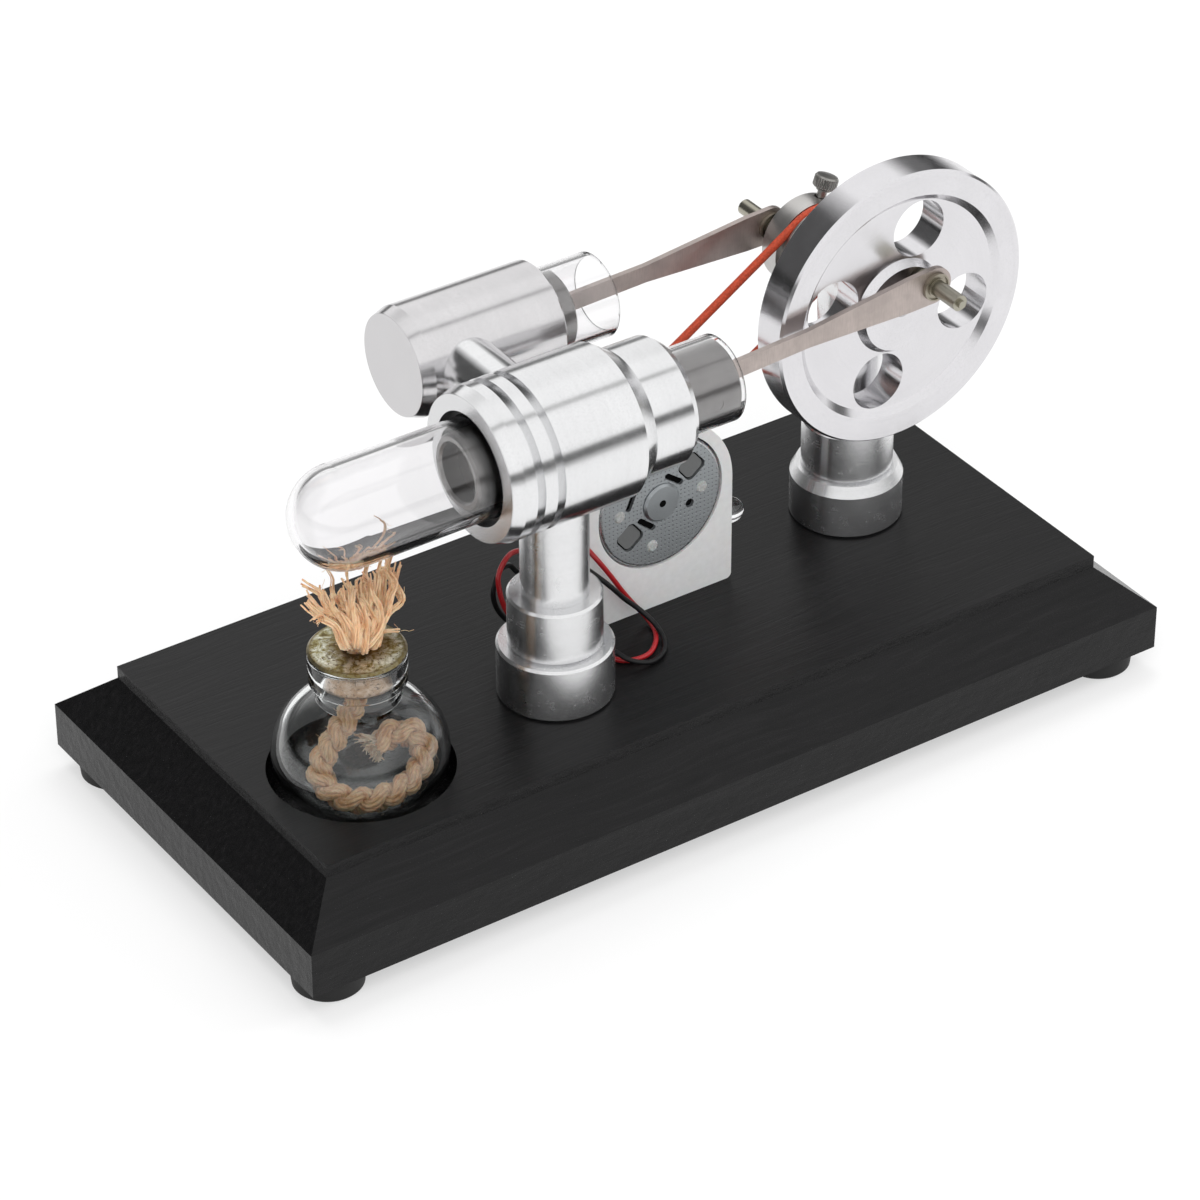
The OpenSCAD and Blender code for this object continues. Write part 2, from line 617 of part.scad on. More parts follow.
module quartz_tube() {
    tip_x = hot_face_x - quartz_free_l + quartz_r;
    steps = 8;
    inner = dome(quartz_inner_r, tip_x, steps);
    color("#dfe7ec", 0.35) hot_place() turned_x(concat(
        [[quartz_r, quartz_end_x - fixed_gap]], dome(quartz_r, tip_x, steps),
        [for (i = [0:steps]) inner[steps - i]], [[quartz_inner_r, quartz_end_x - fixed_gap]]));
}

module sleeve(x0, x1) {
    color("#dfe7ec", 0.35) turned_x([
        [sleeve_inner_r, x0], [sleeve_r, x0], [sleeve_r, x1], [sleeve_inner_r, x1]]);
}

module hot_sleeve() { hot_place() sleeve(hot_sleeve_x + fixed_gap, hot_end_x + hot_sleeve_free_l); }

// Cross tube and cold cylinder

module cross_tube() {
    color("#dcdcdf") difference() {
        translate([hot_post_x, 0, cylinder_z]) rod_y(cross_tube_r, hot_axis_y, cold_axis_y);
        passage_cut(hot_axis_y, cold_axis_y);
        hot_place() rod_x(hot_r + fixed_gap, hot_post_x - hot_r, hot_post_x + hot_r);
        cold_place() rod_x(cold_r + fixed_gap, hot_post_x - cold_r, hot_post_x + cold_r);
    }
}

module cold_body() {
    floor_x = cold_face_x + cold_end_t;
    color("#e2e2e4") difference() {
        cold_place() turned_x([
            [0, cold_face_x], [cold_r - edge_bevel_d, cold_face_x], [cold_r, cold_face_x + edge_bevel_l],
            [cold_r, cold_end_x - small_bevel], [cold_r - small_bevel, cold_end_x],
            [sleeve_r + fixed_gap, cold_end_x], [sleeve_r + fixed_gap, cold_sleeve_x],
            [chamber_r, cold_sleeve_x], [chamber_r, floor_x], [0, floor_x]]);
        passage_cut(cold_axis_y - cold_r - overrun, cold_axis_y);
    }
}

module cold_sleeve() { cold_place() sleeve(cold_sleeve_x + fixed_gap, cold_end_x + cold_sleeve_free_l); }

// Generator, light and wires

// Places on the motor's end plate as shares of its radius, with angles
window_shares = [[0.645, 38], [0.645, 218]];
rivet_shares = [[0.68, 0], [0.68, 180], [0.68, 258]];
slot_shares = [[0.365, 53], [0.365, 230], [0.52, 157]];
eye_shares = [[0.52, -22]];
corner_r = bracket_t / 8;
plate_t = motor_l / 20;
plate_y = bracket_front_y;
can_y = bracket_front_y + plate_t;
motor_end_y = bracket_front_y + motor_l;
motor_boss_l = motor_l / 12;
hub_plate_r = motor_r * 0.29;
hub_plate_t = plate_t;
terminal_w = 2 * wire_r;
rivet_r = motor_r * 0.09;
can_rim = 0.8 * plate_t;

module on_plate(share) {
    rotate(share[1]) translate([share[0] * motor_r, 0]) children();
}

module plate_outline() {
    window = motor_r * 0.36;
    corner = window / 4;
    difference() {
        circle(r = motor_r - can_rim);
        for (s = window_shares) on_plate(s) translate([-window / 2, -window / 2]) {
            translate([corner, 0]) square([window - 2 * corner, window]);
            translate([0, corner]) square([window, window - 2 * corner]);
            for (x = [corner, window - corner], y = [corner, window - corner])
                translate([x, y]) circle(r = corner);
        }
        for (s = slot_shares) on_plate(s) {
            square([corner, 3 * corner], center = true);
            for (side = [-1, 1]) translate([0, side * 1.5 * corner]) circle(r = corner / 2);
        }
        for (s = eye_shares) on_plate(s) circle(r = 0.75 * corner);
        for (s = rivet_shares) on_plate(s) circle(r = rivet_r + fixed_gap);
        circle(r = hub_plate_r + fixed_gap);
    }
}

module at_motor(y) { translate([motor_x, y, motor_z]) rotate([90, 0, 0]) children(); }

module motor_plate() {
    color("#8d9296") at_motor(can_y) linear_extrude(plate_t) plate_outline();
}

module motor_hub() {
    color("#9a9fa3") at_motor(can_y)
        bevel_ring(hub_plate_r, plate_t + hub_plate_t, motor_shaft_r / 2, 0, small_bevel, small_bevel);
}

module motor_rivet(index) {
    color("#c9cccf") at_motor(can_y) rotate(rivet_shares[index][1])
        translate([rivet_shares[index][0] * motor_r, 0, 0])
            bevel_ring(rivet_r, 1.5 * plate_t, 0, 0, plate_t / 2, plate_t / 2);
}

module motor_can() {
    color("#b9bcc0") translate([motor_x, 0, motor_z]) difference() {
        union() {
            turned_y([
                [0, can_y], [motor_r - can_rim + fixed_gap, can_y],
                [motor_r - can_rim + fixed_gap, bracket_front_y], [motor_r - can_rim / 2, bracket_front_y],
                [motor_r, bracket_front_y + can_rim / 2], [motor_r, motor_end_y - small_bevel],
                [motor_r - small_bevel, motor_end_y], [0, motor_end_y]]);
            rod_y(3 * motor_shaft_r, motor_end_y - overrun, motor_end_y + motor_boss_l);
        }
        rod_y(motor_shaft_r + running_gap, can_y + 2 * plate_t, motor_end_y + motor_boss_l + overrun);
    }
}

module motor_bracket() {
    thick_end = bracket_front_y + bracket_t;
    color("#f3f3f1") difference() {
        translate([motor_x, thick_end, panel_top]) rotate([90, 0, 0]) linear_extrude(bracket_t) {
            translate([0, motor_axis_h]) circle(r = bracket_r);
            translate([-bracket_r, corner_r]) square([2 * bracket_r, motor_axis_h - corner_r]);
            translate([corner_r - bracket_r, 0]) square([2 * (bracket_r - corner_r), motor_axis_h]);
            for (side = [-1, 1]) translate([side * (bracket_r - corner_r), corner_r]) circle(r = corner_r);
        }
        translate([motor_x, 0, motor_z])
            rod_y(motor_r + motor_gap, bracket_front_y - overrun, thick_end + overrun);
        translate([0, led_y, panel_top + led_h])
            rod_x(led_r + fixed_gap, led_seat_x - 4 * wire_r, led_face_x + overrun);
        for (end = [red_route[len(red_route) - 1], black_route[len(black_route) - 1]])
            translate([end[0], 0, end[2]]) rod_y(wire_r + fixed_gap, led_y, thick_end + overrun);
    }
}

led_y = bracket_front_y + bracket_t / 2;
led_face_x = motor_x + bracket_r;
led_seat_x = led_face_x - led_held_l;

module led() {
    color("#eef2f4", 0.5) translate([0, led_y, panel_top + led_h]) {
        rod_x(led_r, led_seat_x, led_face_x + led_free_l - led_r);
        translate([led_face_x + led_free_l - led_r, 0, 0]) sphere(r = led_r);
    }
}

module motor_terminal(route) {
    start = route[0];
    rise = max(0, abs(start[2] - motor_z) - terminal_w / 2);
    tab_end = motor_x - sqrt(motor_r * motor_r - rise * rise);
    color("#c8b27a") translate([start[0], start[1] - terminal_w / 2, start[2] - terminal_w / 2])
        cube([tab_end - start[0] - fixed_gap, terminal_w, terminal_w]);
}

module red_wire() { color("#b3202a") swept_tube(red_route, wire_r, 8); }

module black_wire() { color("#151515") swept_tube(black_route, wire_r, 8); }

// The belt as one closed tube round both pulleys: an arc on each and straight runs between
belt_steps = 16;
belt_sides = 12;
module drive_belt() {
    span = [wheel_post_x - motor_x, crank_z - motor_z];
    slope = atan2(span[1], span[0]);
    lean = asin((crank_pitch_r - motor_pitch_r) / norm(span));
    stations = concat(
        [for (i = [0:belt_steps]) [motor_x, motor_z, motor_pitch_r,
            slope + 90 + lean + i * (180 - 2 * lean) / belt_steps]],
        [for (i = [0:belt_steps]) [wheel_post_x, crank_z, crank_pitch_r,
            slope - 90 - lean + i * (180 + 2 * lean) / belt_steps]]);
    rings = [for (s = stations, k = [0:belt_sides - 1]) let (
        a = 360 * (k + 0.5) / belt_sides, r = s[2] + belt_r * cos(a))
        [s[0] + r * cos(s[3]), belt_y + belt_r * sin(a), s[1] + r * sin(s[3])]];
    count = len(stations);
    walls = [for (i = [0:count - 1], k = [0:belt_sides - 1]) let (
        a = i * belt_sides + k, b = i * belt_sides + (k + 1) % belt_sides,
        c = ((i + 1) % count) * belt_sides + k, d = ((i + 1) % count) * belt_sides + (k + 1) % belt_sides)
        each [[a, c, b], [b, c, d]]];
    color("#c0452c") polyhedron(rings, walls);
}

// Crank train

module flywheel() {
    floor_r = wheel_recess_r - wheel_recess_slope;
    boss_foot_r = wheel_boss_r + wheel_boss_h * 0.7;
    color("#e4e4e6") translate([wheel_post_x, 0, crank_z]) difference() {
        turned_y([
            [shaft_r + fixed_gap, boss_face_y], [wheel_boss_r, boss_face_y], [boss_foot_r, wheel_floor_y],
            [floor_r, wheel_floor_y], [wheel_recess_r, wheel_front_y], [wheel_r - small_bevel, wheel_front_y],
            [wheel_r, wheel_front_y + small_bevel], [wheel_r, wheel_back_y - small_bevel],
            [wheel_r - small_bevel, wheel_back_y], [shaft_r + fixed_gap, wheel_back_y]]);
        for (i = [0:wheel_holes - 1]) rotate([0, -wheel_hole_angle - 360 * i / wheel_holes, 0])
            translate([wheel_hole_circle_r, 0, 0])
                rod_y(wheel_hole_r, wheel_front_y - overrun, wheel_back_y + overrun);
    }
}

module wheel_spacer() {
    color("#c9ccd0") translate([wheel_post_x, 0, crank_z]) turned_y([
        [shaft_r + fixed_gap, wheel_back_y], [spacer_r, wheel_back_y],
        [spacer_r - small_bevel, wheel_back_y + wheel_spacer_l - running_gap],
        [shaft_r + fixed_gap, wheel_back_y + wheel_spacer_l - running_gap]]);
}

module main_shaft() {
    color("#a9acb0") translate([wheel_post_x, 0, crank_z]) rod_y(shaft_r, boss_face_y, hub_face_y);
}

module crank_hub() {
    groove_r = crank_pitch_r - belt_r - belt_gap;
    color("#dcdcdf") translate([wheel_post_x, 0, crank_z]) difference() {
        turned_y([
            [shaft_r + fixed_gap, hub_foot_y], [spacer_r, hub_foot_y], [spacer_r, hub_front_y],
            [hub_r - flange_t / 2, hub_front_y], [hub_r, hub_front_y + flange_t / 2],
            [hub_r, hub_front_y + flange_t], [groove_r, hub_front_y + flange_t], [groove_r, hub_drum_y],
            [hub_r, hub_drum_y], [hub_r, hub_face_y - small_bevel], [hub_r - small_bevel, hub_face_y],
            [shaft_r + fixed_gap, hub_face_y]]);
        translate([0, thumb_y, 0]) rotate([0, 90 - thumb_angle, 0])
            cylinder(r = thumb_shank_r + running_gap, h = hub_r + overrun);
    }
}

module thumb_screw() {
    ridges = 24;
    head_foot = hub_r + thumb_neck_h;
    color("#b9bbbe") translate([wheel_post_x, thumb_y, crank_z]) rotate([0, 90 - thumb_angle, 0]) {
        translate([0, 0, shaft_r + running_gap]) cylinder(r = thumb_shank_r, h = head_foot - shaft_r);
        translate([0, 0, head_foot]) linear_extrude(thumb_head_h) polygon([
            for (i = [0:2 * ridges - 1])
                let (a = 180 * i / ridges, r = thumb_head_r * (i % 2 == 0 ? 1 : 0.94))
                [r * cos(a), r * sin(a)]]);
        translate([0, 0, head_foot - small_bevel])
            cylinder(r = thumb_head_r * 0.85, h = thumb_head_h + 2 * small_bevel);
    }
}

// Pistons and rods

module piston(skirt_x, wrist) {
    front_x = skirt_x - piston_l;
    crown_t = 2 * piston_wall;
    color("#8f9092") difference() {
        turned_x([
            [0, front_x], [piston_r - small_bevel, front_x], [piston_r, front_x + small_bevel],
            [piston_r, skirt_x - small_bevel], [piston_r - small_bevel, skirt_x],
            [piston_bore_r, skirt_x], [piston_bore_r, front_x + crown_t], [0, front_x + crown_t]]);
        translate([wrist, 0, 0]) rod_y(wrist_pin_r + fixed_gap, -piston_r - overrun, piston_r + overrun);
    }
}

module wrist_pin(wrist) {
    half = piston_r - 2 * small_bevel;
    color("#a9a58c") translate([wrist, 0, 0]) rod_y(wrist_pin_r, -half, half);
}

module hot_piston() { hot_place() piston(hot_skirt_x, hot_wrist_x); }

module hot_wrist_pin() { hot_place() wrist_pin(hot_wrist_x); }

module hot_crown() {
    recess = crown_r / 2;
    cup_r = crown_r * crown_recess_share;
    color("#97989a") hot_place() turned_x([
        [0, crown_x + recess], [cup_r, crown_x + recess], [cup_r, crown_x + small_bevel],
        [cup_r + small_bevel, crown_x], [crown_r - small_bevel, crown_x], [crown_r, crown_x + small_bevel],
        [crown_r, crown_end_x - small_bevel],
        [crown_r - small_bevel, crown_end_x], [stem_r, crown_end_x], [stem_r, hot_skirt_x - piston_l],
        [0, hot_skirt_x - piston_l]]);
}

module cold_piston() { cold_place() piston(cold_skirt_x, cold_wrist_x); }

module cold_wrist_pin() { cold_place() wrist_pin(cold_wrist_x); }

// A flat rod from its wrist eye at the origin along +X to its crank eye
module flat_rod() {
    taper = rod_taper_shares * rod_l;
    cheek = rod_big_r - rod_half_h / 16;
    translate([0, rod_t / 2, 0]) rotate([90, 0, 0]) linear_extrude(rod_t) difference() {
        union() {
            circle(r = rod_half_h);
            polygon([
                [0, -rod_half_h], [taper[0], -rod_half_h], [taper[1], -cheek], [rod_l, -rod_big_r],
                [rod_l, rod_big_r], [taper[1], cheek], [taper[0], rod_half_h], [0, rod_half_h]]);
            translate([rod_l, 0]) circle(r = rod_big_r);
        }
        circle(r = wrist_pin_r + running_gap);
        translate([rod_l, 0]) circle(r = rod_bearing_r + fixed_gap);
    }
}

module rod_bearing() {
    race = (rod_bearing_r - crank_pin_r) / 4;
    dish = rod_bearing_w / 8;
    bore = crank_pin_r + fixed_gap;
    translate([0, -rod_bearing_w / 2, 0]) turned_y([
        [bore, 0], [crank_pin_r + race, 0], [crank_pin_r + race, dish], [rod_bearing_r - race, dish],
        [rod_bearing_r - race, 0], [rod_bearing_r, 0], [rod_bearing_r, rod_bearing_w],
        [rod_bearing_r - race, rod_bearing_w], [rod_bearing_r - race, rod_bearing_w - dish],
        [crank_pin_r + race, rod_bearing_w - dish], [crank_pin_r + race, rod_bearing_w],
        [bore, rod_bearing_w]]);
}

// A crank pin from its root to its free end, with the shoulder that the bearing sits against
module crank_pin(root_y, shoulder_y, end_y) {
    way = end_y > root_y ? 1 : -1;
    tip = crank_pin_r / 2;
    shoulder_r = 1.3 * crank_pin_r;
    points = [
        [0, root_y], [shoulder_r, root_y], [shoulder_r, shoulder_y], [crank_pin_r, shoulder_y],
        [crank_pin_r, end_y - way * tip], [tip, end_y - way * tip], [tip, end_y], [0, end_y]];
    color("#b5ab8a") turned_y(points);
}

hot_root_y = boss_face_y - pin_root_gap;
hot_shoulder_y = hot_axis_y + rod_bearing_w / 2;
cold_root_y = hub_face_y + pin_root_gap;
cold_shoulder_y = cold_axis_y - rod_bearing_w / 2;

module hot_rod() {
    color("#a8a29c") hot_place() translate([hot_wrist_x, 0, 0]) rotate([0, -rod_tilt(hot_pin), 0]) flat_rod();
}

module hot_rod_bearing() {
    color("#8f8b80") translate([hot_pin[0], hot_axis_y, hot_pin[1]]) rod_bearing();
}

module hot_crank_pin() {
    translate([hot_pin[0], 0, hot_pin[1]])
        crank_pin(hot_root_y, hot_shoulder_y, hot_axis_y - rod_bearing_w / 2 - crank_pin_tail);
}

module cold_rod() {
    color("#a8a29c") cold_place() translate([cold_wrist_x, 0, 0])
        rotate([0, -rod_tilt(cold_pin), 0]) flat_rod();
}

module cold_rod_bearing() {
    color("#8f8b80") translate([cold_pin[0], cold_axis_y, cold_pin[1]]) rod_bearing();
}

module cold_crank_pin() {
    translate([cold_pin[0], 0, cold_pin[1]])
        crank_pin(cold_root_y, cold_shoulder_y, cold_axis_y + rod_bearing_w / 2 + crank_pin_tail);
}

// Motor's turning pieces

pulley_half_w = groove_half_w + flange_t;

module motor_shaft() {
    color("#a9acb0") translate([motor_x, 0, motor_z])
        rod_y(motor_shaft_r, can_y + 3 * plate_t, belt_y + pulley_half_w + motor_shaft_r);
}

module motor_pulley() {
    groove_r = motor_pitch_r - belt_r - belt_gap;
    rim_r = motor_pitch_r + belt_r / 3;
    bore = motor_shaft_r + fixed_gap;
    color("#eeeeea") translate([motor_x, belt_y, motor_z]) turned_y([
        [bore, -pulley_half_w], [rim_r, -pulley_half_w], [rim_r, -groove_half_w], [groove_r, -groove_half_w],
        [groove_r, groove_half_w], [rim_r, groove_half_w], [rim_r, pulley_half_w], [bore, pulley_half_w]]);
}

// Lamp

// Height of the belly's surface over its middle at a radius, for an outline drawn in by an inset
function belly_rise(r, inset) = (belly_half_h - inset) * sqrt(1 - pow(r / (bottle_r - inset), 2));
function belly_arc(inset, low, high, steps) = [for (i = [0:steps]) let (a = low + (high - low) * i / steps)
    [(bottle_r - inset) * cos(a), belly_mid_z + (belly_half_h - inset) * sin(a)]];

module lamp_bottle() {
    steps = 14;
    floor_z = lamp_foot + bottle_wall;
    low = -asin(belly_mid_h * 0.985 / belly_half_h);
    low_in = -asin((belly_mid_z - floor_z) * 0.985 / (belly_half_h - bottle_wall));
    high = acos(neck_r * 1.12 / bottle_r);
    high_in = acos(neck_inner_r * 1.12 / (bottle_r - bottle_wall));
    lip_foot = mouth_z - lip_h;
    outer = belly_arc(0, low, high, steps);
    inner = belly_arc(bottle_wall, low_in, high_in, steps);
    color("#e4edf0", 0.35) translate([lamp_x, hot_axis_y, 0]) rotate_extrude() polygon(concat(
        [[0, lamp_foot], [outer[0][0] - small_bevel, lamp_foot]], outer,
        [[neck_r, outer[steps][1] + small_bevel], [neck_r, lip_foot - small_bevel],
        [lip_r - small_bevel, lip_foot],
        [lip_r, lip_foot + small_bevel], [lip_r, mouth_z - small_bevel], [lip_r - small_bevel, mouth_z],
        [neck_inner_r + small_bevel, mouth_z], [neck_inner_r, mouth_z - small_bevel],
        [neck_inner_r, inner[steps][1] + small_bevel]],
        [for (i = [0:steps]) inner[steps - i]],
        [[inner[0][0] - small_bevel, floor_z], [0, floor_z]]));
}

module lamp_stopper() {
    plug_r = neck_inner_r - plug_gap;
    hole_r = wick_r + fixed_gap;
    color("#a79f7c") translate([lamp_x, hot_axis_y, 0]) rotate_extrude() polygon([
        [hole_r, mouth_z - plug_l], [plug_r - small_bevel, mouth_z - plug_l],
        [plug_r, mouth_z - plug_l + small_bevel], [plug_r, mouth_z + fixed_gap],
        [lip_r - small_bevel, mouth_z + fixed_gap], [lip_r, mouth_z + small_bevel],
        [lip_r - small_bevel, stopper_top], [hole_r + small_bevel, stopper_top + small_bevel],
        [hole_r, stopper_top + small_bevel]]);
}

module wick_rope() {
    color("#cba77e") translate([lamp_x, hot_axis_y, lamp_foot]) swept_tube(wick_route, wick_r, 12);
}

// A bulb of wick with strands that lean outward by the golden angle
module wick_tuft() {
    turn = 137.5;
    lean_most = 52;
    strand_r = wick_r / 5;
    color("#d9ae82") translate([lamp_x, hot_axis_y, lamp_foot + wick_route[0][2]]) {
        rotate_extrude() polygon([
            [0, 0], [wick_r, 0], [wick_r * 1.45, tuft_h * 0.3], [wick_r * 1.5, tuft_h * 0.55],
            [wick_r * 0.8, tuft_h * 0.72], [0, tuft_h * 0.76]]);
        for (i = [0:tuft_strands - 1]) let (share = sqrt((i + 0.5) / tuft_strands))
            rotate([0, 0, i * turn]) translate([wick_r * 0.5 * share, 0, tuft_h * 0.2])
                rotate([0, lean_most * share, 0])
                cylinder(r1 = strand_r, r2 = strand_r / 3, h = tuft_h * (0.8 - 0.15 * share * (i % 3) / 2));
    }
}

base_board();
foot(0);  // foot_1
foot(1);  // foot_2
foot(2);  // foot_3
foot(3);  // foot_4
hot_post_ring();
hot_post_collar();
hot_post_column();
post_screw(hot_post_x, hot_axis_y);  // hot_post_screw
wheel_post_ring();
wheel_post_collar();
wheel_post_column();
post_screw(wheel_post_x, wheel_post_y);  // wheel_post_screw
shaft_bearing(-1);  // bearing_front
shaft_bearing(1);  // bearing_rear
hot_gland();
gland_seal();
hot_body();
quartz_tube();
hot_sleeve();
cross_tube();
cold_body();
cold_sleeve();
motor_bracket();
motor_can();
motor_plate();
motor_hub();
motor_rivet(0);  // motor_rivet_1
motor_rivet(1);  // motor_rivet_2
motor_rivet(2);  // motor_rivet_3
motor_terminal(red_route);  // motor_terminal_1
motor_terminal(black_route);  // motor_terminal_2
led();
red_wire();
black_wire();
drive_belt();
flywheel();
wheel_spacer();
main_shaft();
crank_hub();
thumb_screw();
hot_piston();
hot_crown();
hot_wrist_pin();
hot_rod();
hot_rod_bearing();
hot_crank_pin();
cold_piston();
cold_wrist_pin();
cold_rod();
cold_rod_bearing();
cold_crank_pin();
motor_shaft();
motor_pulley();
lamp_bottle();
lamp_stopper();
wick_rope();
wick_tuft();
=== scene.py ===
import bpy
import bmesh
import math
import random
from mathutils import Matrix, Vector


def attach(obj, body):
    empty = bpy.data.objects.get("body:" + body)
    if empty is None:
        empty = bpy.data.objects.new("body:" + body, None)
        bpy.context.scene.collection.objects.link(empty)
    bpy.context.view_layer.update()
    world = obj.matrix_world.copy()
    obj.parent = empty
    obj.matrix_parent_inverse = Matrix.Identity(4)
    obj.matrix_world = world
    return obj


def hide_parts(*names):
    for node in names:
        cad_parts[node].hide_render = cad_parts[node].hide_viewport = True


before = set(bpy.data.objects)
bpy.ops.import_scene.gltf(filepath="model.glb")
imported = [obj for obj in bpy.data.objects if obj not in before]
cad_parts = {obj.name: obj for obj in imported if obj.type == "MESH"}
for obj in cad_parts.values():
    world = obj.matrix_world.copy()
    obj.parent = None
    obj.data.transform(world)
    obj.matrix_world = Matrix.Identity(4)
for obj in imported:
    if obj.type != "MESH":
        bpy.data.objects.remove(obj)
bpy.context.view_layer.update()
MM = 0.001
AIM = Vector((0, 0, 0.05))  # what the lamps look at, in metres
UV_LENGTH = 0.004  # metres of tube to one turn of the texture along it

# Axes of the turned pieces, in millimetres
HOT = (0.0, -13.3, 70.5)
COLD = (0.0, 19.7, 70.5)
CROSS = (-20.5, 0.0, 70.5)
HOT_POST = (-20.5, -13.3, 0.0)
WHEEL_POST = (50.9, 3.2, 0.0)
CRANK = (50.9, 0.0, 69.0)
MOTOR = (7.6, 0.0, 42.3)
LAMP = (-58.2, -13.3, 13.7)
PANEL_TOP = 21.7


# ---------------------------------------------------------------- camera and light
def make_camera():
    """The camera as measured from the photo: its place round the object and its focal length."""
    photo_px, focal_px, distance, target_z = 1200, 5032.24, 839.88, 34.2
    shift_right, shift_up = -2.159, -8.581
    az, el, roll = math.radians(34.07), math.radians(34.475), -0.0037
    back = Vector((-math.sin(az) * math.cos(el), -math.cos(az) * math.cos(el), math.sin(el)))
    right = Vector((math.cos(az), -math.sin(az), 0.0))
    up = back.cross(right)
    right, up = (math.cos(roll) * right + math.sin(roll) * up,
                 -math.sin(roll) * right + math.cos(roll) * up)
    target = right * shift_right + up * shift_up + Vector((0, 0, target_z))
    eye = (target + back * distance) * MM
    data = bpy.data.cameras.new("camera")
    data.sensor_width = 36.0
    data.lens = focal_px / photo_px * data.sensor_width
    data.clip_start, data.clip_end = 0.05, 20.0
    cam = bpy.data.objects.new("camera", data)
    rot = Matrix((right, up, back)).transposed().to_4x4()
    cam.matrix_world = Matrix.Translation(eye) @ rot
    bpy.context.scene.collection.objects.link(cam)
    bpy.context.scene.camera = cam


def area_light(name, place, size, power):
    """A soft lamp that looks at the object and isn't mirrored in glass or metal itself."""
    data = bpy.data.lights.new(name, "AREA")
    data.shape = "RECTANGLE"
    data.size, data.size_y = size
    data.energy = power
    lamp = bpy.data.objects.new(name, data)
    lamp.visible_glossy = lamp.visible_transmission = False
    lamp.location = place
    way = Vector(place) - AIM
    lamp.rotation_euler = way.to_track_quat("Z", "Y").to_euler()
    bpy.context.scene.collection.objects.link(lamp)


# ---------------------------------------------------------------- node helpers
class Nodes:
    """Short ways to add nodes to a tree."""

    def __init__(self, tree):
        self.tree = tree

    def node(self, kind, ins=None, **props):
        """A node with its properties set and each input given a value or a link."""
        n = self.tree.nodes.new("ShaderNode" + kind)
        for k, v in props.items():
            setattr(n, k, v)
        for k, v in (ins or {}).items():
            if isinstance(v, bpy.types.NodeSocket):
                self.tree.links.new(v, n.inputs[k])
            else:
                n.inputs[k].default_value = v
        return n

    def math(self, op, a, b=0.0, c=None):
        """What a math node gives."""
        ins = {0: a, 1: b}
        if c is not None:
            ins[2] = c
        return self.node("Math", ins, operation=op).outputs[0]

    def vec(self, op, a, b=(0, 0, 0)):
        """What a vector math node gives."""
        return self.node("VectorMath", {0: a, 1: b}, operation=op).outputs[0]

    def coord(self, scale=(1, 1, 1), centre=(0, 0, 0)):
        """Object coordinates in millimetres from a centre, times a scale."""
        out = self.node("TexCoord").outputs["Object"]
        out = self.vec("MULTIPLY", out, (1000.0, 1000.0, 1000.0))
        out = self.vec("SUBTRACT", out, centre)
        return self.vec("MULTIPLY", out, scale)

    def noise(self, vector, scale=1.0, detail=3.0, rough=0.5, distort=0.0):
        """Noise between 0 and 1."""
        n = self.node("TexNoise", {"Vector": vector, "Scale": scale, "Detail": detail,
                                   "Roughness": rough, "Distortion": distort})
        return n.outputs["Fac"]

    def map(self, value, a, b, lo=0.0, hi=1.0):
        """a where the value is lo or less, b where it is hi or more."""
        ins = {"Value": value, "From Min": lo, "From Max": hi, "To Min": a, "To Max": b}
        return self.node("MapRange", ins).outputs[0]

    def ramp(self, value, *stops):
        """Colours at places from 0 to 1."""
        n = self.node("ValToRGB", {0: value})
        e = n.color_ramp.elements
        e[0].position, e[0].color = stops[0][0], tuple(stops[0][1]) + (1,)
        e[1].position, e[1].color = stops[-1][0], tuple(stops[-1][1]) + (1,)
        for place, color in stops[1:-1]:
            e.new(place).color = tuple(color) + (1,)
        return n.outputs[0]

    def mix(self, fac, a, b, mode="MIX"):
        """Two colours mixed."""
        n = self.node("Mix", data_type="RGBA", blend_type=mode)
        for slot, v in (("Factor", fac), ("A", a), ("B", b)):
            # sockets of one name repeat for each type, so take the one that is in use
            sock = [s for s in n.inputs if s.name == slot and s.enabled][0]
            if isinstance(v, bpy.types.NodeSocket):
                self.tree.links.new(v, sock)
            else:
                sock.default_value = v if isinstance(v, float) else tuple(v) + (1,)
        return [s for s in n.outputs if s.enabled][0]

    def bump(self, height, distance_mm, strength=1.0, under=None):
        """A bump over another normal."""
        ins = {"Height": height, "Distance": distance_mm * MM, "Strength": strength}
        if under is not None:
            ins["Normal"] = under
        return self.node("Bump", ins).outputs[0]


class Shader(Nodes):
    """One material with its Principled shader."""

    def __init__(self, name, color, rough, metal=0.0, **sockets):
        self.mat = bpy.data.materials.new(name)
        self.mat.use_nodes = True
        super().__init__(self.mat.node_tree)
        self.bsdf = self.tree.nodes["Principled BSDF"]
        self.set(**{"Base Color": tuple(color) + (1,), "Roughness": rough, "Metallic": metal})
        self.set(**{k.replace("_", " "): v for k, v in sockets.items()})
        self.mat.diffuse_color = tuple(color) + (1,)

    def set(self, **values):
        """Fixed values on the shader's own sockets."""
        for k, v in values.items():
            self.bsdf.inputs[k].default_value = v

    def link(self, value, socket):
        """A value that varies over the surface."""
        self.tree.links.new(value, self.bsdf.inputs[socket])


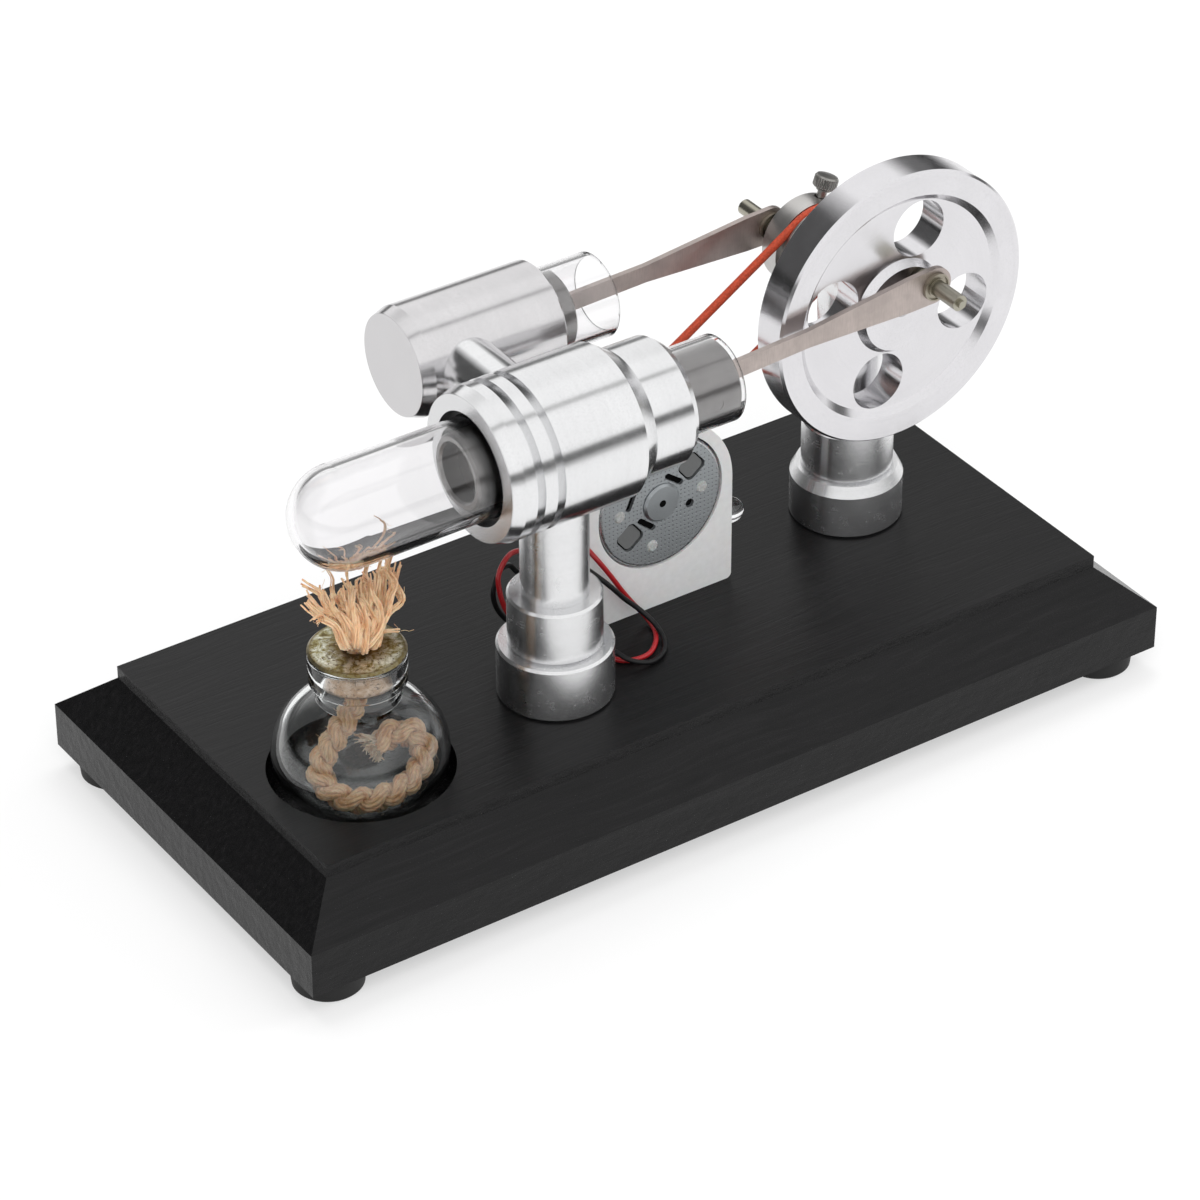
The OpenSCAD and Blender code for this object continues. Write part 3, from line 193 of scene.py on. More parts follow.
def make_world():
    """A white studio with dark edges, so that polished metal has streaks to show."""
    world = bpy.data.worlds.new("studio")
    bpy.context.scene.world = world
    world.use_nodes = True
    n = Nodes(world.node_tree)
    way = n.node("TexCoord").outputs["Generated"]
    x, y, z = n.node("SeparateXYZ", {0: way}).outputs
    # dim near the horizon, a dark line overhead, a shaded corner, and dim at the right and back
    low = n.map(z, 0.13, 1.0, 0.15, 0.195)
    lean = n.math("ABSOLUTE", n.math("MULTIPLY_ADD", z, 0.209, y))
    slit = n.math("MAXIMUM", n.map(lean, 0.42, 1.0, 0.022, 0.08), n.map(z, 1.0, 0.0, 0.45, 0.6))
    corner = n.node("VectorMath", {0: way, 1: (-0.566, 0.683, 0.4617)},
                    operation="DOT_PRODUCT").outputs["Value"]
    shade = n.map(corner, 1.0, 0.08, 0.77, 0.93)
    side = n.map(x, 1.0, 0.15, 0.5, 0.63)
    side = n.math("MAXIMUM", side, n.map(y, 1.0, 0.0, 0.35, 0.6))
    value = n.math("MULTIPLY", n.math("MULTIPLY", low, slit), n.math("MULTIPLY", shade, side))
    back = world.node_tree.nodes["Background"]
    world.node_tree.links.new(n.node("CombineColor", {0: value, 1: value, 2: value}).outputs[0],
                              back.inputs["Color"])
    back.inputs["Strength"].default_value = 1.1


def turned(name, axis, centre, color, rough, spread=0.06, lines=1.0, aniso=0.5, stain=0.06,
           grit=None):
    """Metal turned on a lathe: fine rings round the axis on barrels and end faces alike.

    grit is the place along the axis below which the metal is pitted and darker.
    """
    s = Shader(name, color, rough, 1.0, Anisotropic=aniso, Anisotropic_Rotation=0.25)
    p = s.coord(centre=centre)
    xyz = s.node("SeparateXYZ", {0: p}).outputs
    along = xyz["XYZ".index(axis)]
    others = [xyz[i] for i in range(3) if i != "XYZ".index(axis)]
    radius = s.math("SQRT", s.math("ADD", s.math("MULTIPLY", others[0], others[0]),
                                   s.math("MULTIPLY", others[1], others[1])))
    rings = s.node("CombineXYZ", {0: radius, 1: along}).outputs[0]
    fine = s.noise(rings, 6.5, 2.0, 0.7)
    wide = s.noise(rings, 0.9, 2.0, 0.6)
    cloud = s.noise(p, 0.11, 3.0, 0.55)
    smear = s.noise(s.vec("MULTIPLY", p, (0.5, 0.5, 0.5)), 0.9, 5.0, 0.65, 0.4)
    tone = s.ramp(cloud, (0.3, [c * (1 - stain) for c in color]), (0.7, color))
    tone = s.mix(s.map(wide, 0.0, 0.4, 0.35, 0.75), tone, [c * 0.9 for c in color])
    grain = s.noise(p, 3.4, 2.0, 0.7)
    tone = s.mix(s.map(grain, 0.0, 0.5, 0.48, 0.72), tone, [c * 0.84 for c in color])
    if grit is not None:
        end_face = s.map(along, 1.0, 0.0, grit, grit + 0.1)
        tone = s.mix(end_face, tone, [c * 0.83 for c in color])
    s.link(tone, "Base Color")
    r = s.math("MULTIPLY_ADD", fine, spread, rough - spread * 0.5)
    r = s.math("MULTIPLY_ADD", s.map(smear, 0.0, 1.0, 0.45, 0.75), 0.05, r)
    s.link(r, "Roughness")
    normal = s.bump(fine, 0.004 * lines, 0.5, s.bump(wide, 0.006 * lines, 0.3))
    if grit is not None:
        pits = s.math("MULTIPLY", s.noise(p, 4.5, 3.0, 0.7), end_face)
        normal = s.bump(pits, 0.05, 0.8, normal)
    s.link(normal, "Normal")
    s.link(s.node("Tangent", direction_type="RADIAL", axis=axis).outputs[0], "Tangent")
    return s.mat


def brushed(name, direction, color, rough, spread=0.14, depth=0.008):
    """Sheet metal with its scratches along one axis."""
    scale = [9.0, 9.0, 9.0]
    scale["XYZ".index(direction)] = 0.35
    s = Shader(name, color, rough, 1.0, Anisotropic=0.4)
    lines = s.noise(s.coord(tuple(scale)), 1.0, 4.0, 0.6)
    cloud = s.noise(s.coord(), 0.25, 4.0, 0.6)
    tone = s.mix(s.map(cloud, 0.0, 1.0, 0.35, 0.7), [c * 0.78 for c in color], color)
    s.link(s.mix(s.map(lines, 0.0, 0.6, 0.45, 0.7), tone, [c * 0.7 for c in color]), "Base Color")
    r = s.math("MULTIPLY_ADD", lines, spread, rough - spread * 0.4)
    s.link(s.math("MULTIPLY_ADD", cloud, 0.1, r), "Roughness")
    s.link(s.bump(lines, depth, 0.6), "Normal")
    return s.mat


def black_wood():
    """Black painted board: long brush lines on top, an uneven skin on the slopes and sides."""
    s = Shader("black_wood", (0.006, 0.006, 0.0065), 0.36, Specular_IOR_Level=0.2)
    z = s.node("SeparateXYZ", {0: s.coord()}).outputs[2]
    top = s.map(z, 0.0, 1.0, PANEL_TOP - 0.3, PANEL_TOP - 0.1)
    long_p = s.coord((0.045, 1.0, 1.0))
    warp = s.noise(s.coord((0.02, 0.09, 0.09)), 1.0, 2.0, 0.5)
    aside = s.node("CombineXYZ", {1: s.math("MULTIPLY", warp, 9.0)}).outputs[0]
    shifted = s.vec("ADD", long_p, aside)
    grain = s.noise(shifted, 1.1, 5.0, 0.65)
    pores = s.noise(s.coord((0.12, 3.2, 3.2)), 1.0, 3.0, 0.6)
    peel = s.noise(s.coord((0.7, 1.0, 1.0)), 0.5, 2.5, 0.5)
    dust = s.noise(s.coord(), 2.8, 4.0, 0.7)
    s.link(s.ramp(grain, (0.3, (0.004, 0.004, 0.0042)), (0.55, (0.0065, 0.0063, 0.0066)),
                  (0.75, (0.0105, 0.010, 0.0105))), "Base Color")
    r = s.math("MULTIPLY_ADD", grain, 0.12, 0.27)
    r = s.math("ADD", r, s.map(dust, 0.0, 0.1, 0.5, 0.75))
    s.link(s.math("SUBTRACT", r, s.map(top, 0.07, 0.0)), "Roughness")
    n = s.bump(s.math("MULTIPLY", peel, s.map(top, 1.0, 0.18)), 0.2, 0.6)
    n = s.bump(s.math("MULTIPLY", grain, s.map(top, 0.25, 1.0)), 0.1, 0.5, n)
    s.link(s.bump(s.map(pores, 0.0, 1.0, 0.32, 0.5), 0.02, 0.4, n), "Normal")
    return s.mat


def rubber(name, color, rough=0.62, grain=1.6):
    """Dull rubber or soft plastic with a mottled skin."""
    s = Shader(name, color, rough, Specular_IOR_Level=0.35)
    n = s.noise(s.coord(), grain, 4.0, 0.6)
    tone = s.mix(s.map(n, 0.0, 1.0, 0.35, 0.7), [c * 0.7 for c in color], [c * 1.3 for c in color])
    s.link(tone, "Base Color")
    s.link(s.math("MULTIPLY_ADD", n, 0.2, rough - 0.1), "Roughness")
    s.link(s.bump(n, 0.03, 0.5), "Normal")
    return s.mat


def glass(name, tint, ior, wobble=0.012):
    """Clear glass, slightly uneven, with faint smudges."""
    s = Shader(name, tint, 0.0, Transmission_Weight=1.0, IOR=ior)
    n = s.noise(s.coord(), 0.09, 1.0, 0.4)
    smudge = s.noise(s.coord((0.3, 1.0, 1.0)), 0.5, 4.0, 0.6)
    s.link(s.math("MULTIPLY_ADD", s.map(smudge, 0.0, 1.0, 0.62, 0.85), 0.05, 0.004), "Roughness")
    s.link(s.bump(n, wobble, 0.35), "Normal")
    return s.mat


def gloss_plastic(name, color, rough=0.22, grain=0.9, depth=0.02, sub=0.0):
    """Moulded plastic with a soft sheen."""
    s = Shader(name, color, rough, Subsurface_Weight=sub, Coat_Weight=0.2, Coat_Roughness=0.12)
    s.bsdf.inputs["Subsurface Scale"].default_value = 0.002
    n = s.noise(s.coord(), grain, 3.0, 0.5)
    f = s.noise(s.coord(), 7.0, 2.0, 0.6)
    s.link(s.mix(s.map(n, 0.0, 1.0, 0.3, 0.7), [c * 0.94 for c in color], color), "Base Color")
    s.link(s.math("MULTIPLY_ADD", n, 0.12, rough - 0.04), "Roughness")
    s.link(s.bump(f, depth * 0.2, 0.5, s.bump(n, depth, 0.4)), "Normal")
    return s.mat


def dimpled_plate():
    """Zinc plate with a close field of pressed dimples, their hollows painted darker as shade."""
    color = (0.42, 0.445, 0.46)
    s = Shader("dimpled_plate", color, 0.45, 0.75)
    p = s.coord((1.0, 0.0, 1.0), MOTOR)
    cells = s.node("TexVoronoi", {"Vector": p, "Scale": 1.25, "Randomness": 0.12}, feature="F1")
    dots = s.map(cells.outputs["Distance"], 1.0, 0.0, 0.1, 0.24)
    n = s.noise(s.coord(), 1.3, 4.0, 0.6)
    # painted shade: each dimple's hollow is coloured a darker grey
    s.link(s.mix(s.math("MULTIPLY", dots, 0.6), color, (0.17, 0.185, 0.2)), "Base Color")
    s.link(s.math("MULTIPLY_ADD", n, 0.2, 0.36), "Roughness")
    s.link(s.bump(s.math("MULTIPLY", dots, -1.0), 0.12, 0.8), "Normal")
    return s.mat


def frosted(name, color):
    """Pale, slightly clear plastic of the plate's melted pegs."""
    s = Shader(name, color, 0.35, Subsurface_Weight=0.3)
    s.bsdf.inputs["Subsurface Scale"].default_value = 0.0006
    n = s.noise(s.coord(), 2.4, 3.0, 0.6)
    s.link(s.mix(s.map(n, 0.0, 1.0, 0.35, 0.65), [c * 0.7 for c in color], color), "Base Color")
    s.link(s.math("MULTIPLY_ADD", n, 0.3, 0.25), "Roughness")
    s.link(s.bump(n, 0.1, 0.5), "Normal")
    return s.mat


def cotton(name, color):
    """Cotton yarn: ridges painted pale as highlight, hollows painted orange-brown as shade, some
    strands darker.
    """
    s = Shader(name, color, 0.92, Sheen_Weight=0.3, Sheen_Roughness=0.5, Subsurface_Weight=0.2)
    s.bsdf.inputs["Subsurface Scale"].default_value = 0.0006
    uv = s.node("UVMap").outputs[0]
    fibre = s.noise(s.vec("MULTIPLY", uv, (9.0, 2.2, 1.0)), 1.0, 4.0, 0.7)
    cloud = s.noise(s.coord(), 0.45, 3.0, 0.6)
    strand = s.noise(s.coord((1.0, 1.0, 0.35)), 0.8, 2.0, 0.5)
    # painted highlight on the fibre ridges and painted shade in their hollows, from the bump's own
    # noise
    tone = s.ramp(fibre, (0.3, [c * d for c, d in zip(color, (0.55, 0.4, 0.3))]), (0.5, color),
                  (0.7, [min(1, c * d) for c, d in zip(color, (1.15, 1.3, 1.45))]))
    tone = s.mix(s.map(cloud, 0.0, 0.6, 0.35, 0.75), tone, (0.90, 0.72, 0.50))
    dark = [c * d for c, d in zip(color, (0.72, 0.5, 0.36))]
    s.link(s.mix(s.map(strand, 0.65, 0.0, 0.34, 0.52), tone, dark), "Base Color")
    s.link(s.bump(fibre, 0.12, 0.8), "Normal")
    return s.mat


def patina():
    """Old nickel on brass: blotches, dark pits, darker brown round the hole and an olive rim."""
    s = Shader("patina", (0.42, 0.38, 0.24), 0.38, 0.9)
    p = s.coord(centre=LAMP)
    x, y, z = s.node("SeparateXYZ", {0: p}).outputs
    radius = s.math("SQRT", s.math("ADD", s.math("MULTIPLY", x, x), s.math("MULTIPLY", y, y)))
    blot = s.noise(p, 0.55, 6.0, 0.72, 0.8)
    speck = s.noise(p, 1.7, 4.0, 0.7)
    tone = s.ramp(blot, (0.36, (0.12, 0.085, 0.025)), (0.44, (0.30, 0.26, 0.11)),
                  (0.5, (0.47, 0.46, 0.34)), (0.6, (0.74, 0.74, 0.64)))
    # darker brown round the hole, fading out towards the rim
    wobble = s.math("MULTIPLY_ADD", blot, 3.0, radius)
    tone = s.mix(s.map(wobble, 0.9, 0.0, 4.6, 7.2), tone, (0.13, 0.08, 0.02))
    tone = s.mix(s.map(radius, 0.0, 0.85, 7.0, 7.5), tone, (0.17, 0.13, 0.05))
    tone = s.mix(s.map(z, 0.7, 0.0, 30.2, 30.5), tone, (0.40, 0.23, 0.15))
    s.link(s.mix(s.map(speck, 0.0, 0.85, 0.56, 0.62), tone, (0.08, 0.045, 0.02)), "Base Color")
    s.link(s.math("MULTIPLY_ADD", speck, 0.4, 0.14), "Roughness")
    s.link(s.bump(speck, 0.05, 0.6, s.bump(blot, 0.1, 0.5)), "Normal")
    return s.mat


# ---------------------------------------------------------------- mesh helpers
def add_mesh(name, mesh, material, body, angle):
    """Puts a mesh into the scene on a body, smooth but for edges sharper than the angle."""
    mesh.shade_smooth()
    mesh.set_sharp_from_angle(angle=math.radians(angle))
    mesh.materials.append(material)
    obj = bpy.data.objects.new(name, mesh)
    bpy.context.scene.collection.objects.link(obj)
    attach(obj, body)
    return obj


def new_object(name, verts, faces, material, body, angle):
    """An object of points and faces, with its normals turned outwards."""
    mesh = bpy.data.meshes.new(name)
    mesh.from_pydata([tuple(v) for v in verts], [], faces)
    mesh.validate()
    bm = bmesh.new()
    bm.from_mesh(mesh)
    bmesh.ops.recalc_face_normals(bm, faces=bm.faces)
    bm.to_mesh(mesh)
    bm.free()
    return add_mesh(name, mesh, material, body, angle)


def arc(cx, cy, rx, ry, a0, a1, steps):
    """Points of an elliptic arc, angles in degrees."""
    angles = [math.radians(a0 + (a1 - a0) * i / steps) for i in range(steps + 1)]
    return [(cx + rx * math.cos(a), cy + ry * math.sin(a)) for a in angles]


def skin(pairs, sides):
    """The faces between pairs of rings of points. A ring on the axis is a single point."""
    faces = []
    for low, high in pairs:
        for k in range(sides):
            j = (k + 1) % sides
            quad = [low[k % len(low)], low[j % len(low)], high[j % len(high)], high[k % len(high)]]
            quad = [q for i, q in enumerate(quad) if q not in quad[:i]]
            if len(quad) > 2:
                faces.append(quad)
    return faces


def lathe(name, profile, axis, centre, material, body, closed=False, sides=144):
    """A turned body from (radius, along) points in millimetres. Ends on the axis unless closed."""
    verts, rings = [], []
    for r, a in profile:
        ring = []
        for k in range(sides if r > 1e-6 else 1):
            w = 2 * math.pi * k / sides
            u, v = r * math.cos(w), r * math.sin(w)
            local = {"X": (a, u, v), "Y": (v, a, u), "Z": (u, v, a)}[axis]
            ring.append(len(verts))
            verts.append((Vector(local) + Vector(centre)) * MM)
        rings.append(ring)
    pairs = list(zip(rings, rings[1:])) + ([(rings[-1], rings[0])] if closed else [])
    return new_object(name, verts, skin(pairs, sides), material, body, 32.0)


def span(name):
    """The lowest and highest corner of a CAD node, in millimetres."""
    obj = bpy.data.objects[name]
    points = [obj.matrix_world @ v.co for v in obj.data.vertices]
    return [tuple(pick(p[i] for p in points) / MM for i in range(3)) for pick in (min, max)]


def spline(points, per=6):
    """A smooth line through the points, as many steps to each stretch as asked."""
    p = [Vector(q) for q in points]
    out = []
    for i in range(len(p) - 1):
        a, b, c, d = p[max(i - 1, 0)], p[i], p[i + 1], p[min(i + 2, len(p) - 1)]
        for k in range(per):
            t = k / per
            out.append(0.5 * ((2 * b) + (c - a) * t + (2 * a - 5 * b + 4 * c - d) * t * t
                              + (3 * b - 3 * c + d - a) * t ** 3))
    out.append(p[-1])
    return out


def frames(path):
    """Tangent, side and top at each point, carried along without twist."""
    n = len(path)
    tan = [(path[min(i + 1, n - 1)] - path[max(i - 1, 0)]).normalized() for i in range(n)]
    side = tan[0].orthogonal().normalized()
    out = []
    for t in tan:
        side = (side - t * side.dot(t)).normalized()
        out.append((t, side, t.cross(side)))
    return out


def tube(verts, faces, uvs, path, radius, sides, twist):
    """Adds a tube along a path to the lists.

    radius is a number or a function of the share done, twist is in radians per metre.
    """
    base, n = len(verts), len(path)
    run = 0.0
    for i, (p, (t, a, b)) in enumerate(zip(path, frames(path))):
        if i:
            run += (path[i] - path[i - 1]).length
        r = radius(i / (n - 1)) if callable(radius) else radius
        for k in range(sides):
            w = 2 * math.pi * k / sides + twist * run
            verts.append(p + r * (math.cos(w) * a + math.sin(w) * b))
    run = 0.0
    for i in range(n - 1):
        step = (path[i + 1] - path[i]).length
        v0, v1 = run / UV_LENGTH, (run + step) / UV_LENGTH
        low, high = base + i * sides, base + (i + 1) * sides
        for k in range(sides):
            j = (k + 1) % sides
            faces.append((low + k, low + j, high + j, high + k))
            u0, u1 = k / sides, (k + 1) / sides
            uvs.append(((u0, v0), (u1, v0), (u1, v1), (u0, v1)))
        run += step
    end = base + (n - 1) * sides
    for cap in (range(base, base + sides)[::-1], range(end, end + sides)):
        faces.append(tuple(cap))
        uvs.append(((0.5, 0.5),) * sides)


def tube_object(name, runs, material, body, sides):
    """One mesh of several tubes: each run is (path, radius, twist)."""
    verts, faces, uvs = [], [], []
    for path, radius, twist in runs:
        tube(verts, faces, uvs, path, radius, sides, twist)
    mesh = bpy.data.meshes.new(name)
    mesh.from_pydata([tuple(v) for v in verts], [], faces)
    layer = mesh.uv_layers.new(name="along")
    for loop, uv in enumerate(uv for face in uvs for uv in face):
        layer.data[loop].uv = uv
    return add_mesh(name, mesh, material, body, 50.0)


def dress(material, *nodes):
    """Gives CAD nodes a material."""
    for name in nodes:
        obj = bpy.data.objects[name]
        if not obj.material_slots:
            obj.data.materials.append(material)
        for slot in obj.material_slots:
            slot.material = material


# ---------------------------------------------------------------- studio
make_camera()
make_world()
bpy.context.scene.view_settings.view_transform = "Standard"
area_light("key", (-0.55, -0.75, 0.95), (1.0, 0.7), 6)
area_light("fill", (0.95, -0.3, 0.6), (0.3, 0.6), 3)
area_light("top", (0.05, 0.3, 1.0), (0.8, 0.4), 4)

# A pale floor that glows: half its width in metres, and from where to where it fades in mm
FLOOR_HALF, FLOOR_GREY, FLOOR_GLOW, FADE_FROM, FADE_TO = 6, (0.36, 0.36, 0.36), 0.52, 500.0, 1000.0
floor_mesh = bpy.data.meshes.new("floor")
corners = [(x * FLOOR_HALF, y * FLOOR_HALF, 0) for x, y in ((-1, -1), (1, -1), (1, 1), (-1, 1))]
floor_mesh.from_pydata(corners, [], [(0, 1, 2, 3)])
floor_shader = Shader("floor", FLOOR_GREY, 0.7, Specular_IOR_Level=0.1)
floor_shader.set(**{"Emission Strength": FLOOR_GLOW})
far = floor_shader.node("VectorMath", {0: floor_shader.coord()},
                        operation="LENGTH").outputs["Value"]
fall = floor_shader.map(far, 1.0, 0.5, FADE_FROM, FADE_TO)
pale = floor_shader.node("CombineColor", {0: fall, 1: fall, 2: fall}).outputs[0]
floor_shader.link(pale, "Emission Color")
floor_shader.link(floor_shader.mix(1.0, pale, FLOOR_GREY, "MULTIPLY"), "Base Color")
floor_mesh.materials.append(floor_shader.mat)
floor = bpy.data.objects.new("floor", floor_mesh)
bpy.context.scene.collection.objects.link(floor)

# ---------------------------------------------------------------- materials
ALU, PISTON = (0.82, 0.822, 0.83), (0.33, 0.322, 0.315)
hot_alu = turned("alu_hot", "X", HOT, ALU, 0.18, grit=span("hot_gland")[0][0] + 0.1)
cold_alu = turned("alu_cold", "X", COLD, (0.72, 0.708, 0.718), 0.2, stain=0.12,
                  grit=span("cold_body")[0][0] + 0.1)
cross_alu = turned("alu_cross", "Y", CROSS, ALU, 0.15)
hot_post_alu = turned("alu_hot_post", "Z", HOT_POST, ALU, 0.24, aniso=0.8)
wheel_post_alu = turned("alu_wheel_post", "Z", WHEEL_POST, ALU, 0.24, aniso=0.8)
wheel_alu = turned("alu_wheel", "Y", CRANK, (0.745, 0.735, 0.755), 0.17, aniso=0.7, lines=1.6)
hub_alu = turned("alu_hub", "Y", CRANK, (0.60, 0.585, 0.57), 0.33, 0.12, 1.0, 0.3, 0.2)
crank_steel = turned("steel_crank", "Y", CRANK, (0.55, 0.55, 0.56), 0.24)
motor_steel = turned("steel_motor", "Y", MOTOR, (0.6, 0.61, 0.62), 0.26)
hub_steel = turned("steel_hub", "Y", MOTOR, (0.42, 0.445, 0.46), 0.38, lines=0.5, aniso=0.2)
thumb_steel = brushed("steel_thumb", "Z", (0.40, 0.39, 0.37), 0.27)
hot_piston_steel = turned("steel_hot_piston", "X", HOT, PISTON, 0.36, 0.16, 1.4, 0.3, 0.4)
cold_piston_steel = turned("steel_cold_piston", "X", COLD, PISTON, 0.36, 0.16, 1.4, 0.3, 0.4)
pin_nickel = turned("nickel_pins", "Y", CRANK, (0.43, 0.41, 0.34), 0.3, 0.15, 1.0, 0.3, 0.2)
race_steel = turned("steel_race", "Y", CRANK, (0.36, 0.33, 0.27), 0.35)
wood = black_wood()
foot_rubber = rubber("foot_rubber", (0.008, 0.008, 0.008))
seal_rubber = rubber("seal_rubber", (0.008, 0.008, 0.0085), 0.5)
belt_rubber = rubber("belt_rubber", (0.42, 0.055, 0.022), 0.5, 2.5)
clear = glass("clear_glass", (0.955, 0.95, 0.957), ior=1.5)
bottle_glass = glass("bottle_glass", (0.975, 0.992, 0.988), ior=1.45, wobble=0.04)
resin = glass("led_resin", (0.97, 0.975, 0.98), ior=1.53)
white = gloss_plastic("white_plastic", (0.80, 0.80, 0.80), sub=0.1)
red_pvc = gloss_plastic("red_insulation", (0.36, 0.008, 0.012), 0.35, 2.0, 0.01)
black_pvc = rubber("black_insulation", (0.006, 0.006, 0.0065), 0.45)
# dark grey of the part behind the motor's windows, darkened with painted shade of the recess
shaded_dark_plastic = gloss_plastic("shaded_dark_plastic", (0.15, 0.155, 0.155), 0.5, 1.5, 0.02)
# black for the painted shade in the motor's openings
shade_black = rubber("shade_black", (0.002, 0.002, 0.002), 0.9)
shade_black.node_tree.nodes["Principled BSDF"].inputs["Specular IOR Level"].default_value = 0.1
plate = dimpled_plate()
peg = frosted("peg_plastic", (0.52, 0.54, 0.53))
rod_steel = brushed("rod_steel", "Z", (0.54, 0.47, 0.44), 0.34)
brass = brushed("terminal_brass", "X", (0.62, 0.5, 0.28), 0.35)
stopper = patina()
yarn = cotton("wick_cotton", (0.80, 0.50, 0.28))
pale_yarn = cotton("wick_cut_end", (0.86, 0.73, 0.6))
screw_steel = brushed("screw_steel", "X", (0.5, 0.5, 0.5), 0.35)

dress(wood, "base_board")
dress(foot_rubber, "foot_1", "foot_2", "foot_3", "foot_4")
dress(hot_post_alu, "hot_post_ring", "hot_post_collar", "hot_post_column")
dress(wheel_post_alu, "wheel_post_ring", "wheel_post_collar", "wheel_post_column")
dress(screw_steel, "hot_post_screw", "wheel_post_screw")
dress(race_steel, "bearing_front", "bearing_rear", "hot_rod_bearing", "cold_rod_bearing")
dress(hot_alu, "hot_gland", "hot_body")
dress(cold_alu, "cold_body")
dress(cross_alu, "cross_tube")
dress(seal_rubber, "gland_seal")
dress(white, "motor_bracket", "motor_pulley")
dress(motor_steel, "motor_can", "motor_shaft")
dress(hub_steel, "motor_hub")
dress(peg, "motor_rivet_1", "motor_rivet_2", "motor_rivet_3")
dress(plate, "motor_plate")
dress(brass, "motor_terminal_1", "motor_terminal_2")
dress(belt_rubber, "drive_belt")
dress(wheel_alu, "flywheel")
dress(hub_alu, "crank_hub")
dress(crank_steel, "wheel_spacer", "main_shaft")
dress(hot_piston_steel, "hot_piston", "hot_crown", "hot_wrist_pin")
dress(cold_piston_steel, "cold_piston", "cold_wrist_pin")
dress(pin_nickel, "hot_crank_pin", "cold_crank_pin")
dress(rod_steel, "hot_rod", "cold_rod")
dress(stopper, "lamp_stopper")

# ---------------------------------------------------------------- glass
# Belly's radius and half height, wall, radii of the neck and the lip, height of the mouth
BOTTLE_R, BELLY_H, WALL, NECK_R, LIP_R, MOUTH = 14.5, 12.0, 1.2, 6.9, 8.05, 44.1
BELLY_UP = 11.6  # from the bottle's foot to the middle of its belly
BELLY_Z = LAMP[2] + BELLY_UP
TUBE_R = 8.7
TUBE_TIP = span("quartz_tube")[0][0] + TUBE_R


def bottle():
    """The spirit bottle, walled all round, with a rolled lip."""
    floor_z = LAMP[2] + WALL
    inner_r, inner_h, neck_in = BOTTLE_R - WALL, BELLY_H - WALL, NECK_R - WALL
    low = -math.degrees(math.asin(BELLY_UP * 0.985 / BELLY_H))
    low_in = -math.degrees(math.asin((BELLY_Z - floor_z) * 0.985 / inner_h))
    high = math.degrees(math.acos(NECK_R * 1.12 / BOTTLE_R))
    high_in = math.degrees(math.acos(neck_in * 1.12 / inner_r))
    outer = arc(0, BELLY_Z, BOTTLE_R, BELLY_H, low, high, 40)
    inner = arc(0, BELLY_Z, inner_r, inner_h, low_in, high_in, 40)
    lip, foot, foot_in = MOUTH - 5.4, outer[0][0], inner[0][0]
    profile = [(0, LAMP[2] + 1.0), (foot * 0.7, LAMP[2] + 0.5), (foot - 0.4, LAMP[2])] + outer
    profile += [(NECK_R + 0.12, outer[-1][1] + 0.35), (NECK_R, outer[-1][1] + 0.9)]
    profile += [(NECK_R, lip - 0.4)]
    profile += arc(LIP_R - 0.6, lip + 0.6, 0.6, 0.6, -90, 0, 6)
    profile += arc(LIP_R - 0.6, MOUTH - 0.6, 0.6, 0.6, 0, 90, 6)
    profile += arc(neck_in + 0.4, MOUTH - 0.4, 0.4, 0.4, 90, 180, 5)
    profile += [(neck_in, inner[-1][1] + 0.9), (neck_in + 0.12, inner[-1][1] + 0.35)]
    profile += inner[::-1]
    profile += [(foot_in - 0.4, floor_z), (foot_in * 0.5, floor_z + 0.25), (0, floor_z + 0.4)]
    obj = lathe("spirit_bottle", profile, "Z", (LAMP[0], LAMP[1], 0), bottle_glass, "lamp")
    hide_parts("lamp_bottle")


def flame_tube():
    """The closed glass tube that the flame heats."""
    end, inner_r = span("quartz_tube")[1][0], 7.5
    profile = [(r, x) for x, r in arc(TUBE_TIP, 0, -inner_r, inner_r, 0, 90, 32)]
    profile += [(inner_r + 0.2, end), (TUBE_R - 0.2, end)]
    profile += [(r, x) for x, r in arc(TUBE_TIP, 0, -TUBE_R, TUBE_R, 90, 0, 32)]
    profile[0], profile[-1] = (0, profile[0][1]), (0, profile[-1][1])
    obj = lathe("flame_tube", profile, "X", HOT, clear, "frame")
    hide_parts("quartz_tube")


def sleeve(name, node, centre):
    """The open glass tube in which a piston runs."""
    low, high = span(node)
    inner_r, outer_r = 6.45, 7.45
    profile = [(inner_r, low[0]), (outer_r, low[0])]
    profile += [(outer_r, high[0] - 0.25), (outer_r - 0.25, high[0])]
    profile += [(inner_r + 0.15, high[0]), (inner_r, high[0] - 0.15)]
    obj = lathe(name, profile, "X", centre, clear, "frame", closed=True)
    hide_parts(node)


def light():
    """The clear light beside the motor: a round body with a domed end."""
    low, high = span("led")
    r = (high[2] - low[2]) / 2
    centre = (0, (low[1] + high[1]) / 2, (low[2] + high[2]) / 2)
    tip = high[0] - r
    profile = [(0, low[0]), (r, low[0])] + [(b, a) for a, b in arc(tip, 0, r, r, 90, 0, 24)]
    profile[-1] = (0, high[0])
    obj = lathe("clear_light", profile, "X", centre, resin, "frame", sides=96)
    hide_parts("led")


bottle()
flame_tube()
sleeve("hot_glass_sleeve", "hot_sleeve", HOT)
sleeve("cold_glass_sleeve", "cold_sleeve", COLD)
light()

# ---------------------------------------------------------------- thumb screw and piston pins
# Where the screw's axis meets the crank's, and the way it leans
THUMB = Vector((CRANK[0], 16.1125, CRANK[2]))
THUMB_ANGLE = math.radians(70)
THUMB_WAY = Vector((math.cos(THUMB_ANGLE), 0, math.sin(THUMB_ANGLE)))
HEAD_R, HEAD_H, STEM_R, SHOULDER_R = 2.1, 2.4, 0.85, 1.25
RIDGES, RIDGE_STEPS, RIDGE_DEPTH = 30, 4, 0.13
SKIRT_R = 6.38  # of the pistons


